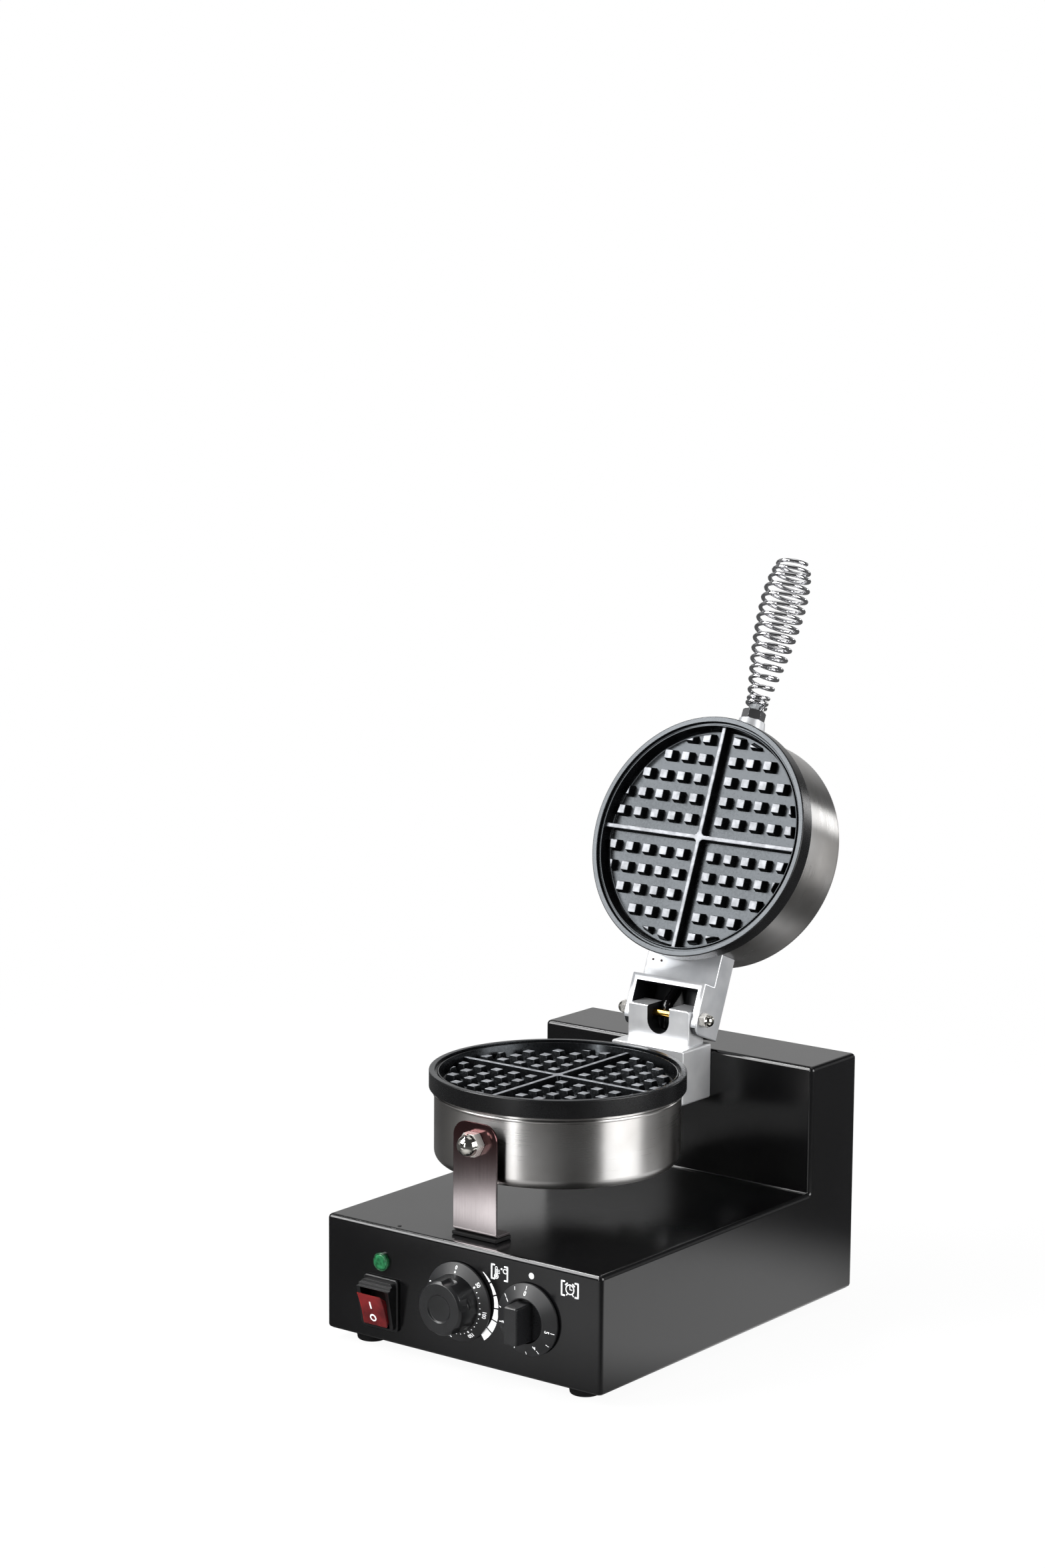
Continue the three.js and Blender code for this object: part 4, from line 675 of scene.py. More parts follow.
class WAFFLE_OT_finishes(bpy.types.Operator):
    """Makes the shader groups and every finish, and gives the kept CAD pieces theirs"""

    bl_idname = "waffle.finishes"
    bl_label = "Finishes"

    def execute(self, context):
        groups["grain"] = make_touch_group("fine grain", False)
        groups["brush"] = make_touch_group("brushing", True)
        groups["tint"] = make_tint_group()
        black = context.scene.waffle_case.paint
        coat = context.scene.waffle_mould.coating
        surface(
            "black paint", [c * 0.85 for c in black], [c * 1.2 for c in black],
            0.14, 0.21, 0.03, 0, 380, 9, depth=0.00003, Specular_IOR_Level=0.5,
        )
        surface(
            "coated casting", [c * 0.4 for c in coat], [c * 0.9 for c in coat],
            0.15, 0.33, 0.14, 0, 520, 60, depth=0.00007,
            Specular_IOR_Level=0.42, Specular_Tint=(0.86, 0.93, 1.0, 1),
        )
        for *look, more in finish_rows:
            surface(*look, **more)
        # The bracket's upper part is tinted by heat
        tree = finishes["bracket steel"].node_tree
        colour = tree.nodes["Principled BSDF"].inputs["Base Color"]
        spot = node(tree, "ShaderNodeTexCoord").outputs["Object"]
        rise = node(tree, "ShaderNodeSeparateXYZ", {0: spot}).outputs["Z"]
        heat = ramp(tree, rise, 0.116, 0.178, way="SMOOTHSTEP")
        hot = (*rgb((0.44, 0.31, 0.315)), 1)
        tree.links.new(mixed(tree, heat, colour.links[0].from_socket, hot), colour)
        for look, names in kept_pieces.items():
            for name in names:
                materials = frame["nodes"][name].data.materials
                materials.clear()
                materials.append(finishes[look])
        return {"FINISHED"}


# ---- Case and feet


class WAFFLE_OT_case(bpy.types.Operator):
    """Folds the case: a low deck with a tower behind, open below"""

    bl_idname = "waffle.case"
    bl_label = "Case"

    def execute(self, context):
        sizes = context.scene.waffle_case
        side = [
            (0, 0), (depth, 0), (depth, sizes.tower), (sizes.tower_front, sizes.tower),
            (sizes.tower_front, sizes.deck), (0, sizes.deck),
        ]
        case = prism("case", side, 0, -half_width, 2 * half_width)
        mesh = case.data
        weights = mesh.attributes.new("bevel_weight_edge", "FLOAT", "EDGE").data
        for edge in mesh.edges:
            a, b = (mesh.vertices[i].co for i in edge.vertices)
            middle = (a + b) / 2 / mm
            low = middle.z < 1 and abs(a.z - b.z) < mm
            inner = abs(middle.y - sizes.tower_front) < 1 and abs(middle.z - sizes.deck) < 1
            weights[edge.index].value = 0.8 if low else (0.35 if inner else 1.0)
        apply_modifier(
            case, "BEVEL", width=sizes.fold * mm, segments=6, limit_method="WEIGHT",
            miter_outer="MITER_ARC",
        )
        edit_faces(case, lambda face: face.normal.z < -0.99 and face.center.z < 1 * mm)
        bpy.ops.mesh.delete(type="FACE")
        leave_edit()
        apply_modifier(case, "SOLIDIFY", thickness=1.5 * mm, offset=-1.0, use_quality_normals=True)
        window = round_box(-10.7, 10.7, -12.8, 14.6, 0.6, 2)
        window = moved(prism("window", window, 1, -4, 8), at(switch_x, 0, switch_z))
        lamp, dial, timer, gland = (
            moved(rod(radius, -4, 4, 32), at(x, y, z) @ facing_user)
            for x, y, z, radius in (
                (switch_x, 0, lamp_z, 6.1), (0, 0, dial_z, 5), (timer_x, 0, timer_z, 5),
                (gland_x, depth, gland_z, 7.9),
            )
        )
        cut(case, lamp, dial, timer, window, gland)
        finish(case, "black paint", "base", to_case, ["housing"], 30)
        screw = turned(
            "deck_screw", fillet([(0, 0), (1.5, 0), (1.5, 0.4), (0, 0.5)], {2: 0.2}), 24,
        )
        half_slot, screw_x, screw_y = 0.18, -63.7, 8
        slot = [(-2, -half_slot), (2, -half_slot), (2, half_slot), (-2, half_slot)]
        cut(screw, prism("slot", slot, 2, 0.3, 1))
        moved(screw, at(screw_x, screw_y, sizes.deck))
        finish(screw, "frame plastic", "base", to_case)
        return {"FINISHED"}


class WAFFLE_OT_feet(bpy.types.Operator):
    """Turns one rubber foot and sets a copy under each corner"""

    bl_idname = "waffle.feet"
    bl_label = "Feet"

    def execute(self, context):
        profile = [
            (0, 4), (2.2, 4), (2.2, 4.3), (4.5, 4.3), (4.5, 0), (11.2, 0), (12.4, 7.7), (0, 7.7),
        ]
        foot = turned("foot", fillet(profile, {4: 0.7, 5: 1.6, 6: 0.5}), 64)
        inset, foot_x = 20, 99.75
        for front, y in (("front", inset), ("rear", depth - inset)):
            for side, sign in (("left", -1), ("right", 1)):
                twin = copied(foot, f"rubber_{front}_{side}")
                place = at(sign * foot_x, case_low.y / mm + y, 0)
                finish(twin, "rubber", "base", place, [f"foot_{front}_{side}"])
        bpy.data.objects.remove(foot)
        return {"FINISHED"}


# ---- Pans


def raised(name, shape, root, slope, rise):
    """A form on the mould's floor: pulled up through it from below, then drawn in as it rises."""
    form = outline(name, [(x, y, mould_floor - root) for x, y in shape])
    if form.data.polygons[0].normal.z < 0:
        form.data.flip_normals()
    edit(form, "FACE")
    pull(0, 0, root)
    bpy.ops.mesh.inset(thickness=slope * mm, depth=rise * mm)
    leave_edit()
    return form


def mould_plate(name, sizes):
    """The mould with its joint plane at height 0: rim, groove, lip, wall, floor, ribs and pegs."""
    under = -17.5
    profile = [
        (0, under), (91.3, under), (91.3, -13.8), (mould_radius, -13.8), (mould_radius, 0),
        (92.4, 0), (92.4, -3), (90.3, -3), (90.3, -1.4), (89.3, -1.4), (87.7, mould_floor),
        (0, mould_floor),
    ]
    rounds = {3: 0.9, 4: 0.9, 5: 0.5, 6: 0.7, 7: 0.5, 8: 0.4, 9: 0.4, 10: 1.6}
    plate = turned(name, fillet(profile, rounds), 160)

    rib, arm, corner = 2.6, 93, 2.5
    meet = rib + corner
    quarter = [(rib, -arm)] + arc((meet, -meet), corner, 180, 90, 4) + [(arm, -rib)]
    cross = []
    for c, s in ((1, 0), (0, 1), (-1, 0), (0, -1)):
        cross += [(x * c - y * s, x * s + y * c) for x, y in quarter]
    ribs = raised("ribs", cross, 0.5, 1.0, -sizes.ribs - mould_floor)
    rounded(ribs, 0.5, 3, 25)
    trim(ribs, rod(89.6, -20, 5, 96))

    foot = 4.7
    square = [(foot, foot), (-foot, foot), (-foot, -foot), (foot, -foot)]
    peg = raised("peg", square, 0.6, 1.3, sizes.peg)
    pegs = []
    first, reach = 14.3, 85.6
    rows = [first + i * sizes.pitch for i in range(5)]
    for x, y in ((x, y) for x in rows for y in rows if math.hypot(x, y) <= reach):
        for sx, sy in ((1, 1), (-1, 1), (-1, -1), (1, -1)):
            pegs.append(moved(copied(peg, "peg copy"), at(sx * x, sy * y, 0)))
    field = joined(*pegs)
    bpy.data.objects.remove(peg)
    clean(field)
    low, high = mould_floor - 1, mould_floor + 7
    clip = [(0, low), (85.5, low), (85.5, mould_floor), (82.9, high), (0, high)]
    trim(field, turned("trim", clip, 96))
    flatten(field, 0.00002, 6)
    rounded(field, 0.75, 3, 28)
    return joined(plate, ribs, field)


class WAFFLE_OT_pans(bpy.types.Operator):
    """Makes both moulds and their drawn shells"""

    bl_idname = "waffle.pans"
    bl_label = "Moulds and shells"

    def execute(self, context):
        sizes = context.scene.waffle_mould

        def out(spot):
            """How far a spot is from the mould's axis."""
            return math.hypot(spot.x, spot.y)

        mould_looks = (
            ("machined rim", lambda spot, way: out(spot) > 92 and way.z > 0.6 and spot.z > -1.2),
            ("rim casting", lambda spot, way: out(spot) > 95),
            # The tops of pegs and ribs are painted light: a painted highlight
            ("worn tops",
             lambda spot, way: out(spot) < 88 and way.z > 0.5 and spot.z > -sizes.ribs - 1.2),
        )
        lower = mould_plate("lower_plate", sizes)
        upper = copied(lower, "upper_plate")
        for plate, place, body, cad in (
            (lower, to_lower_pan, "base", "lower_mould"),
            (upper, to_upper_pan, "lid", "upper_mould"),
        ):
            finish(plate, "coated casting", body, place, [cad], 38)
            paint(plate, place, mould_looks)

        top, bottom, sheet = -14.1, -69.1, 1.2
        outer, inner = shell_radius, shell_radius - sheet
        bead = [(outer + 1.1 * x, top - 3.3 - 1.3 * y) for y, x in arc((0, 0), 1, 0, 180, 8)]
        profile = [(0, bottom), (outer, bottom), (outer, top - 4.6), *bead]
        profile += [(outer, top), (inner, top), (inner, bottom + sheet), (0, bottom + sheet)]
        last = len(profile) - 2
        shell = turned("lower_pan", fillet(profile, {1: 8.0, last: 6.8}, 8), 160)
        lid_shell = copied(shell, "upper_pan")

        def bore(radius, x, z, sign):
            """A hole in the shell's wall, in front (-1) or behind (1)."""
            return moved(rod(radius, 0, 20, 24), at(x, sign * 80, z) @ rotated(-90 * sign, "X"))

        cut(
            shell, bore(5.3, 0, stud_z - parting_height, -1), bore(2.8, 12, -49.2, 1),
            bore(2.8, -12, -49.2, 1), rod(3.3, -80, -60, 24),
        )
        cut(
            lid_shell, bore(4.3, 0, -40, 1), bore(4.8, -5, -32.4, -1), bore(2.8, 20, -31.6, -1),
            bore(2.8, -20, -31.6, -1), rod(3.3, -80, -60, 24),
        )
        for pan, look, body, place, cad in (
            (shell, "brushed shell", "base", to_lower_pan, "lower_shell"),
            (lid_shell, "brushed lid shell", "lid", to_upper_pan, "upper_shell"),
        ):
            wrap(pan)
            finish(pan, look, body, place, [cad])
        return {"FINISHED"}


# ---- Front support


def cap_nut(name, flats, height, dome):
    """A domed nut that stands on height 0."""
    corner = flats / math.sqrt(3)
    near, far, chamfer = corner * 0.9, corner * 1.02, corner * 0.1
    nut = prism(name, around(6, corner), 2, 0, height)
    cone = [
        (0, -1), (near, -1), (far, chamfer), (far, height - chamfer), (near, height), (0, height),
    ]
    trim(nut, turned("cone", cone, 64))
    rounded(nut, 0.25, 2, 20)
    neck = height + 0.8
    rise = [(0, height - 0.4), (dome + 0.3, height - 0.4), (dome + 0.3, height + 0.3), (dome, neck)]
    rise += [
        (dome * x, neck + (dome - 0.8) * y) for x, y in arc((0, 0), 1, 7.5, 82.5, 10)
    ] + [(0, height + dome)]
    return joined(nut, turned("dome", rise, 64))


def nickel_nut(nut, body, place, height, cad):
    """Puts a domed nut in place: the dome is bright, the hexagon below it has a softer finish."""
    finish(nut, "nickel", body, place, [cad])
    paint(nut, place, [("satin nickel", lambda spot, way: spot.z < height + 0.05)])


class WAFFLE_OT_support(bpy.types.Operator):
    """Bends the front support and makes its pad and domed nut"""

    bl_idname = "waffle.support"
    bl_label = "Front support"

    def execute(self, context):
        back = pan_y - shell_radius - 5.7
        front = back - 2
        low, top, half = 91.7, stud_z + 15.4, 20
        side = [(front + 17, low), (front + 17, low + 2)]
        side += arc((back + 1.5, low + 3.5), 1.5, 270, 180, 5)
        side += [(back, top), (front, top)]
        side += arc((front + 3.5, low + 3.5), 3.5, 180, 270, 6)
        bracket = prism("support_plate", side, 0, -half, 2 * half)
        face = round_box(-half, half, low - 40, top, 12, 12)
        trim(bracket, prism("mask", face, 1, front - 5, 40))
        cut(
            bracket,
            moved(rod(5.3, -10, 10, 32), at(0, front, stud_z) @ facing_user),
            moved(rod(2.3, -10, 10, 24), at(0, front + 10, low)),
        )
        rounded(bracket, 0.35, 2, 50)
        finish(bracket, "bracket steel", "base", to_case, ["support_bracket"])
        # The support's back faces get a dark finish: painted shade, so the shell beside the support
        # mirrors a dark band
        paint(bracket, to_case, [("smoked steel", lambda spot, way: way.y > 0.9)])
        pad = prism(
            "support_pad", round_box(-20.8, 20.8, front - 0.8, front + 17.8, 1.2, 3), 2, 88.8, 2.6,
        )
        rounded(pad, 0.5, 2, 40)
        finish(pad, "rubber", "base", to_case, ["bracket_pad"])
        nut = cap_nut("support_nut", 17, 7.2, 8.2)
        nickel_nut(nut, "base", facing(0, front - 0.3, stud_z), 7.2, "bracket_cap_nut")
        return {"FINISHED"}


# ---- Hinge


class WAFFLE_OT_hinge(bpy.types.Operator):
    """Finishes the hinge castings, pin, nuts and small screws"""

    bl_idname = "waffle.hinge"
    bl_label = "Hinge"

    def execute(self, context):
        block = dressed_copy("hinge_block", "hinge_casting", "milled aluminium", "base")
        arm = dressed_copy("hinge_arm", "lid_casting", "blasted aluminium", "lid")

        # Faces in the block's notch and inside the arm's window get a dark finish: painted shade in
        # these hollows
        def in_notch(spot, way):
            return abs(spot.x) < 11.5 and spot.z > 194 and abs(way.y) < 0.5

        def in_window(spot, way):
            within = abs(spot.x) < 33 and -36 < spot.y < 14 and spot.z > -6.8
            inward = way.x * spot.x < -1 or way.y > 0.5 or (way.z < -0.4 and spot.z > 2)
            return within and inward

        paint(block, to_case, [("shaded casting", in_notch)])
        paint(arm, to_lid, [("shaded casting", in_window)])
        pin = [(0, -40.9), (3, -40.9), (3, 40.9), (0, 40.9)]
        finish(
            turned("pivot_pin", fillet(pin, {1: 0.5, 2: 0.5}), 48), "brass", "lid",
            to_lid @ rotated(90, "Y"), ["hinge_pin"],
        )
        for side, sign in (("left", -1), ("right", 1)):
            nut = cap_nut(f"pivot_nut_{side}", 10, 5, 4.75)
            outward = rotated(sign * 90, "Y") @ rotated(-sign * 8, "Z")
            place = to_lid @ at(sign * 34.7, 0, 0) @ outward
            nickel_nut(nut, "lid", place, 5, f"hinge_cap_nut_{side}")
        head = fillet([(0, 0), (1.0, 0), (1.0, 0.3), (0, 0.35)], {2: 0.15})
        for index, x in enumerate((-28, -20)):
            place = to_lid @ at(x, -41.5, 6.45) @ rotated(180, "X")
            screw = turned(f"web_screw_{index}", head, 20)
            finish(screw, "smoked steel", "lid", place)
        return {"FINISHED"}


class WAFFLE_OT_lead(bpy.types.Operator):
    """Draws the sleeved lead that bends over the hinge"""

    bl_idname = "waffle.lead"
    bl_label = "Lead over the hinge"

    def execute(self, context):
        lead_x = -5
        straight, above = 265, 15.8
        route = [
            (284, 170), (270.7, 170), (267, 172), *((straight, z) for z in (178, 192, 204, 213)),
        ]
        lid_route = [
            (-7.4, 6), (-13.5, 9.8), (-20, 14.7), *((y, above) for y in (-28, -47.2, -57.2)),
        ]
        points = [
            place @ (Vector((lead_x, y, z)) * mm)
            for place, way in ((to_case, route), (to_lid, lid_route)) for y, z in way
        ]
        obj = wire(
            "lead_sleeve", "NURBS", points, 4.4, 8, order_u=4, use_endpoint_u=True, resolution_u=10,
        )
        obj.data.materials.append(finishes["glossy sleeve"])
        pick(obj)
        bpy.ops.object.shade_smooth_by_angle(angle=math.radians(50))
        start = hinge_point + Vector((0, 8 * mm, -9 * mm))
        end = to_lid @ Vector((0, -15 * mm, 10.5 * mm))
        end.x = start.x
        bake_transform(obj)
        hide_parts("lead_lower", "lead_upper")
        return {"FINISHED"}


# ---- Handle

coil_turns = 16
coil_height = 122
coil_foot = 0.12


def coil_radius(share):
    """Narrow at the seat, widest at 0.72 of the height and drawn in at the top."""
    narrow, wide, widest = 7.6, 17.4, 0.72
    if share <= coil_foot:
        return narrow
    if share <= widest:
        rise = math.sin((share - coil_foot) / (widest - coil_foot) * math.pi / 2)
        return narrow + (wide - narrow) * rise
    return wide - 5.4 * (1 - math.cos((share - widest) / (1 - widest) * math.pi / 2))


def coil_speed(share):
    """How fast the wire climbs: 3.8 mm a turn at the foot, 6 mm a turn at the top."""
    slow, shut = 3.8 * coil_turns / coil_height, 6 * coil_turns / coil_height
    if share < coil_foot:
        return slow
    if share > 1 - coil_foot:
        return shut
    return (1 - (slow + shut) * coil_foot) / (1 - 2 * coil_foot)


class WAFFLE_OT_handle(bpy.types.Operator):
    """Winds the coil handle and makes its seat and nut"""

    bl_idname = "waffle.handle"
    bl_label = "Handle"

    def execute(self, context):
        steps, thick, base = 36, 3.2, 20.6
        count = coil_turns * steps
        points = []
        height = base + thick
        for i in range(count + 1):
            angle = i / steps * 2 * math.pi
            radius = coil_radius(i / count)
            points.append((radius * math.cos(angle), radius * math.sin(angle), height))
            height += coil_speed((i + 0.5) / count) / count * coil_height
        x, y = points[0][0], points[0][1] - thick / 2
        points = [Vector(spot) * mm for spot in [(x, y, base), (x, y, base + 1.9)] + points]
        coil = wire("coil_grip", "POLY", points, thick / 2, 5)
        finish(coil, "chrome", "lid", to_handle, ["handle_spring"], 60, False)
        corner = 16.4 / math.sqrt(3)
        low, high = 12.3, 20.3
        nut = prism("grip_nut", around(6, corner, -23), 2, low, high - low)
        near, far = corner * 0.9, corner * 1.02
        cone = [
            (0, low - 0.3), (near, low), (far, low + 1), (far, high - 1), (near, high),
            (0, high + 0.3),
        ]
        trim(nut, turned("cone", cone, 64))
        cut(nut, rod(4.3, 0, 40, 32))
        rounded(nut, 0.25, 2, 20)
        finish(nut, "chrome", "lid", to_handle, ["handle_nut"])
        dressed_copy("handle_seat", "grip_seat", "blasted aluminium", "lid")
        return {"FINISHED"}


# ---- Controls


def lettering(text, size, thick=ink):
    """Generic numbers and marks as a thin solid in the XY plane, centred."""
    bpy.ops.object.select_all(action="DESELECT")
    bpy.ops.object.text_add()
    obj = bpy.context.object
    obj.data.body = text
    obj.data.size = size * mm
    obj.data.align_x = "CENTER"
    obj.data.align_y = "CENTER"
    obj.data.extrude = thick / 2 * mm
    obj.data.resolution_u = 4
    obj.data.offset = 0.06 * mm
    pick(obj)
    bpy.ops.object.convert(target="MESH")
    return bpy.context.object


def bar(width, length, thick=ink):
    shape = round_box(-width / 2, width / 2, -length / 2, length / 2, width * 0.2, 2)
    return prism("bar", shape, 2, -thick / 2, thick)


def dot(radius, thick=ink):
    return rod(radius, -thick / 2, thick / 2, 20, "dot")


def printed(marks, name, body, place):
    """Joins marks into one piece of white print."""
    sheet = joined(*marks)
    sheet.name = sheet.data.name = name
    # The print has a faint painted glow
    finish(sheet, "white print", body, place, (), 30, False)


def print_skirt(name, body, place, marks, inner, outer, low, high):
    """Prints a knob's marks, each (mark, radius, degrees clockwise), on its sloped skirt."""
    for mark, radius, degrees in marks:
        moved(mark, rotated(-degrees, "Z") @ at(0, radius, 0))
        for vertex in mark.data.vertices:
            away = math.hypot(vertex.co.x, vertex.co.y) / mm
            height = low + (outer - away) / (outer - inner) * (high - low)
            vertex.co.z += (height + 0.05) * mm
    printed([mark for mark, _, _ in marks], name, body, place)


def finish_knob(knob, body, place, cad, height, radius):
    """Dresses a knob and gives its skirt, below a height and outside a radius, its own finish."""
    def on_skirt(spot, way):
        return spot.z < height and math.hypot(spot.x, spot.y) > radius

    finish(knob, "knob plastic", body, place, [cad], 40)
    paint(knob, place, [("skirt plastic", on_skirt)])


class WAFFLE_OT_temperature_knob(bpy.types.Operator):
    """Models the scalloped temperature knob with its numbered skirt"""

    bl_idname = "waffle.temperature_knob"
    bl_label = "Temperature knob"

    def execute(self, context):
        rim, hub, slope_foot, slope_top = 29.6, 21.8, 2.8, 6.4
        profile = [
            (0, 1.2), (rim, 1.2), (rim, slope_foot), (hub, slope_top), (21.6, 6.6), (20.4, 23.2),
            (18.4, 25), (10.8, 25), (9.6, 23.9), (0, 24.3),
        ]
        knob = turned("heat_knob", fillet(profile, {2: 0.7, 5: 1.6, 6: 1.2, 7: 0.7, 8: 0.7}), 144)
        scoop = fillet([(0, 13.5), (8, 13.5), (8.6, 28), (0, 28)], {1: 2.5}, 6)
        scoop_reach = 27.2
        scoops = [
            moved(turned("scoop", scoop, 48), at(x, y, 0)) for x, y in around(6, scoop_reach, 15)
        ]
        cut(knob, *scoops)
        rounded(knob, 0.5, 3, 32)
        cut(knob, rod(3.3, 0, 14.2, 32))
        place = facing(0, 0, dial_z)
        finish_knob(knob, "temperature_dial", place, "temperature_knob", 6.7, 21.5)
        marks = []
        turns = (0, 50, 100, 148, 195, 243, 290)
        between, numbers, dots = 5, 26.2, 23.2
        for index, angle in enumerate(turns):
            marks += [(lettering(str(50 * index), 3.8), numbers, angle), (dot(0.75), dots, angle)]
            if 0 < index < len(turns) - 1:
                step = (turns[index + 1] - angle) / between
                marks += [(dot(0.4), dots, angle + step * k) for k in range(1, between)]
        print_skirt(
            "heat_numbers", "temperature_dial", place, marks, hub, rim, slope_foot, slope_top,
        )
        return {"FINISHED"}


class WAFFLE_OT_timer_knob(bpy.types.Operator):
    """Models the timer knob: numbered skirt, dished hub and bar grip"""

    bl_idname = "waffle.timer_knob"
    bl_label = "Timer knob"

    def execute(self, context):
        rim, hub, slope_foot, slope_top = 27, 17.2, 2.6, 7.4
        profile = [
            (0, 1.2), (rim, 1.2), (rim, slope_foot), (hub, slope_top), (16.4, 7.6), (15.4, 5.4),
            (0, 4.6),
        ]
        knob = turned("time_knob", fillet(profile, {2: 0.7, 3: 0.6, 4: 0.3, 5: 0.8}), 144)
        grip = prism("grip", round_box(-6.4, 6.4, -14.7, 14.7, 1.6, 4), 2, 3, 20.5)
        edit_faces(grip, lambda face: face.normal.z > 0.99)
        bpy.ops.transform.resize(value=(0.93, 0.95, 1))
        leave_edit()
        rounded(grip, 1.3, 5, 40)
        trim(grip, turned("end", [(0, 0), (15.6, 0), (15.2, 30), (0, 30)], 128))
        knob = joined(knob, grip)
        place = facing(timer_x, 0, timer_z)
        finish_knob(knob, "timer_dial", place, "timer_knob", 7.5, 16.9)
        marks = []
        figures, hour_turn = 6, -51.4
        for figure in range(figures):
            angle = hour_turn * figure
            marks += [(lettering(str(figure), 4.4), 20.3, angle), (bar(0.5, 2.8), 24.2, angle)]
            if figure < figures - 1:
                marks.append((bar(0.42, 2.4), 24.4, angle + hour_turn / 2))
        print_skirt("time_numbers", "timer_dial", place, marks, hub, rim, slope_foot, slope_top)
        return {"FINISHED"}


class WAFFLE_OT_lamp_and_switch(bpy.types.Operator):
    """Models the indicator lamp and the rocker switch in its stepped frame"""

    bl_idname = "waffle.lamp_and_switch"
    bl_label = "Lamp and switch"

    def execute(self, context):
        place = facing(switch_x, 0, lamp_z)
        ring = fillet([(6.1, 0.3), (6.9, 0.3), (6.9, 2.6), (6.1, 2.6)], {2: 0.35, 3: 0.2})
        finish(
            turned("lamp_collar", ring), "green collar", "base", place,
            ["lamp_bezel"],
        )
        glass = [(0, -8), (4.6, -8), (4.6, 0), (5.8, 0), (5.8, 3.1), (4.9, 3.1), (0, 3.1)]
        lens = turned("lamp_glass", fillet(glass, {4: 0.6}))
        ridges = []
        pitch, grid = 1.08, 5.0
        for k in range(-4, 5):
            y = k * pitch
            reach = math.sqrt(grid**2 - y * y)
            for degrees in (0, 90):
                ridge = prism(
                    "ridge", round_box(-reach, reach, y - 0.3, y + 0.3, 0.2, 2), 2, 2.95, 0.42,
                )
                ridges.append(rounded(moved(ridge, rotated(degrees, "Z")), 0.15, 2, 40))
        lens = joined(lens, *ridges)
        # The lens has a faint painted glow
        finish(lens, "green lens", "base", place, ["lamp_lens"], 30)

        place = to_case @ at(switch_x, 0, switch_z)
        flange = prism("switch_surround", round_box(-16.5, 16.5, -17, 23, 3, 5), 1, -0.3, -2.4)
        rounded(flange, 1.0, 3, 40)
        half, low, high = 15.2, -15.4, 20.8
        side = [
            (-0.6, low), (-0.6, high), (-6.6, high), (-7.2, 18.6), (-9.2, 18.4), (-9.8, 16.4),
            (-12.0, 16.2), (-5.5, low),
        ]
        hood = prism("layer", side, 0, -half, 2 * half)
        trim(hood, prism("mask", round_box(-half, half, low, high, 3.6, 10), 1, -30, 40))
        rounded(hood, 0.7, 4, 28)
        for part in (flange, hood):
            cut(part, prism("window", round_box(-11.9, 11.9, -14, 15.8, 0.8, 3), 1, -30, 32))
        surround = joined(flange, hood)
        finish(surround, "frame plastic", "base", place, ["switch_frame"])

        reach, bow, out, lean = 13.1, 0.9, -9.8, 8.7

        def face_at(share):
            """The rocker's bowed face, from its top (0) to its foot (1)."""
            bend = bow * math.sin(share * math.pi)
            return out + share * lean + bend, reach - share * 2 * reach

        side = [face_at(k / 12) for k in range(13)] + arc((0, 0), 6, -60, 60, 10)
        rocker = rounded(prism("rocker", side, 0, -11.5, 23), 1.5, 4, 45)
        seat = to_case @ at(switch_x, -7, switch_z)
        finish(rocker, "red rocker", "power_rocker", seat, ["switch_rocker"], 50)
        line = bar(1.1, 6.0, 0.5)
        ring = cut(dot(3.0, 0.5), rod(1.95, -1, 1, 32))
        tilt = Matrix.Rotation(math.atan2(lean, 2 * reach), 4, "X")
        for mark, along in ((line, 3.9), (ring, -6.6)):
            y, z = face_at((reach - along) / (2 * reach))
            moved(mark, at(-0.8, y, z) @ tilt @ facing_user)
        printed([line, ring], "rocker_signs", "power_rocker", seat)
        return {"FINISHED"}


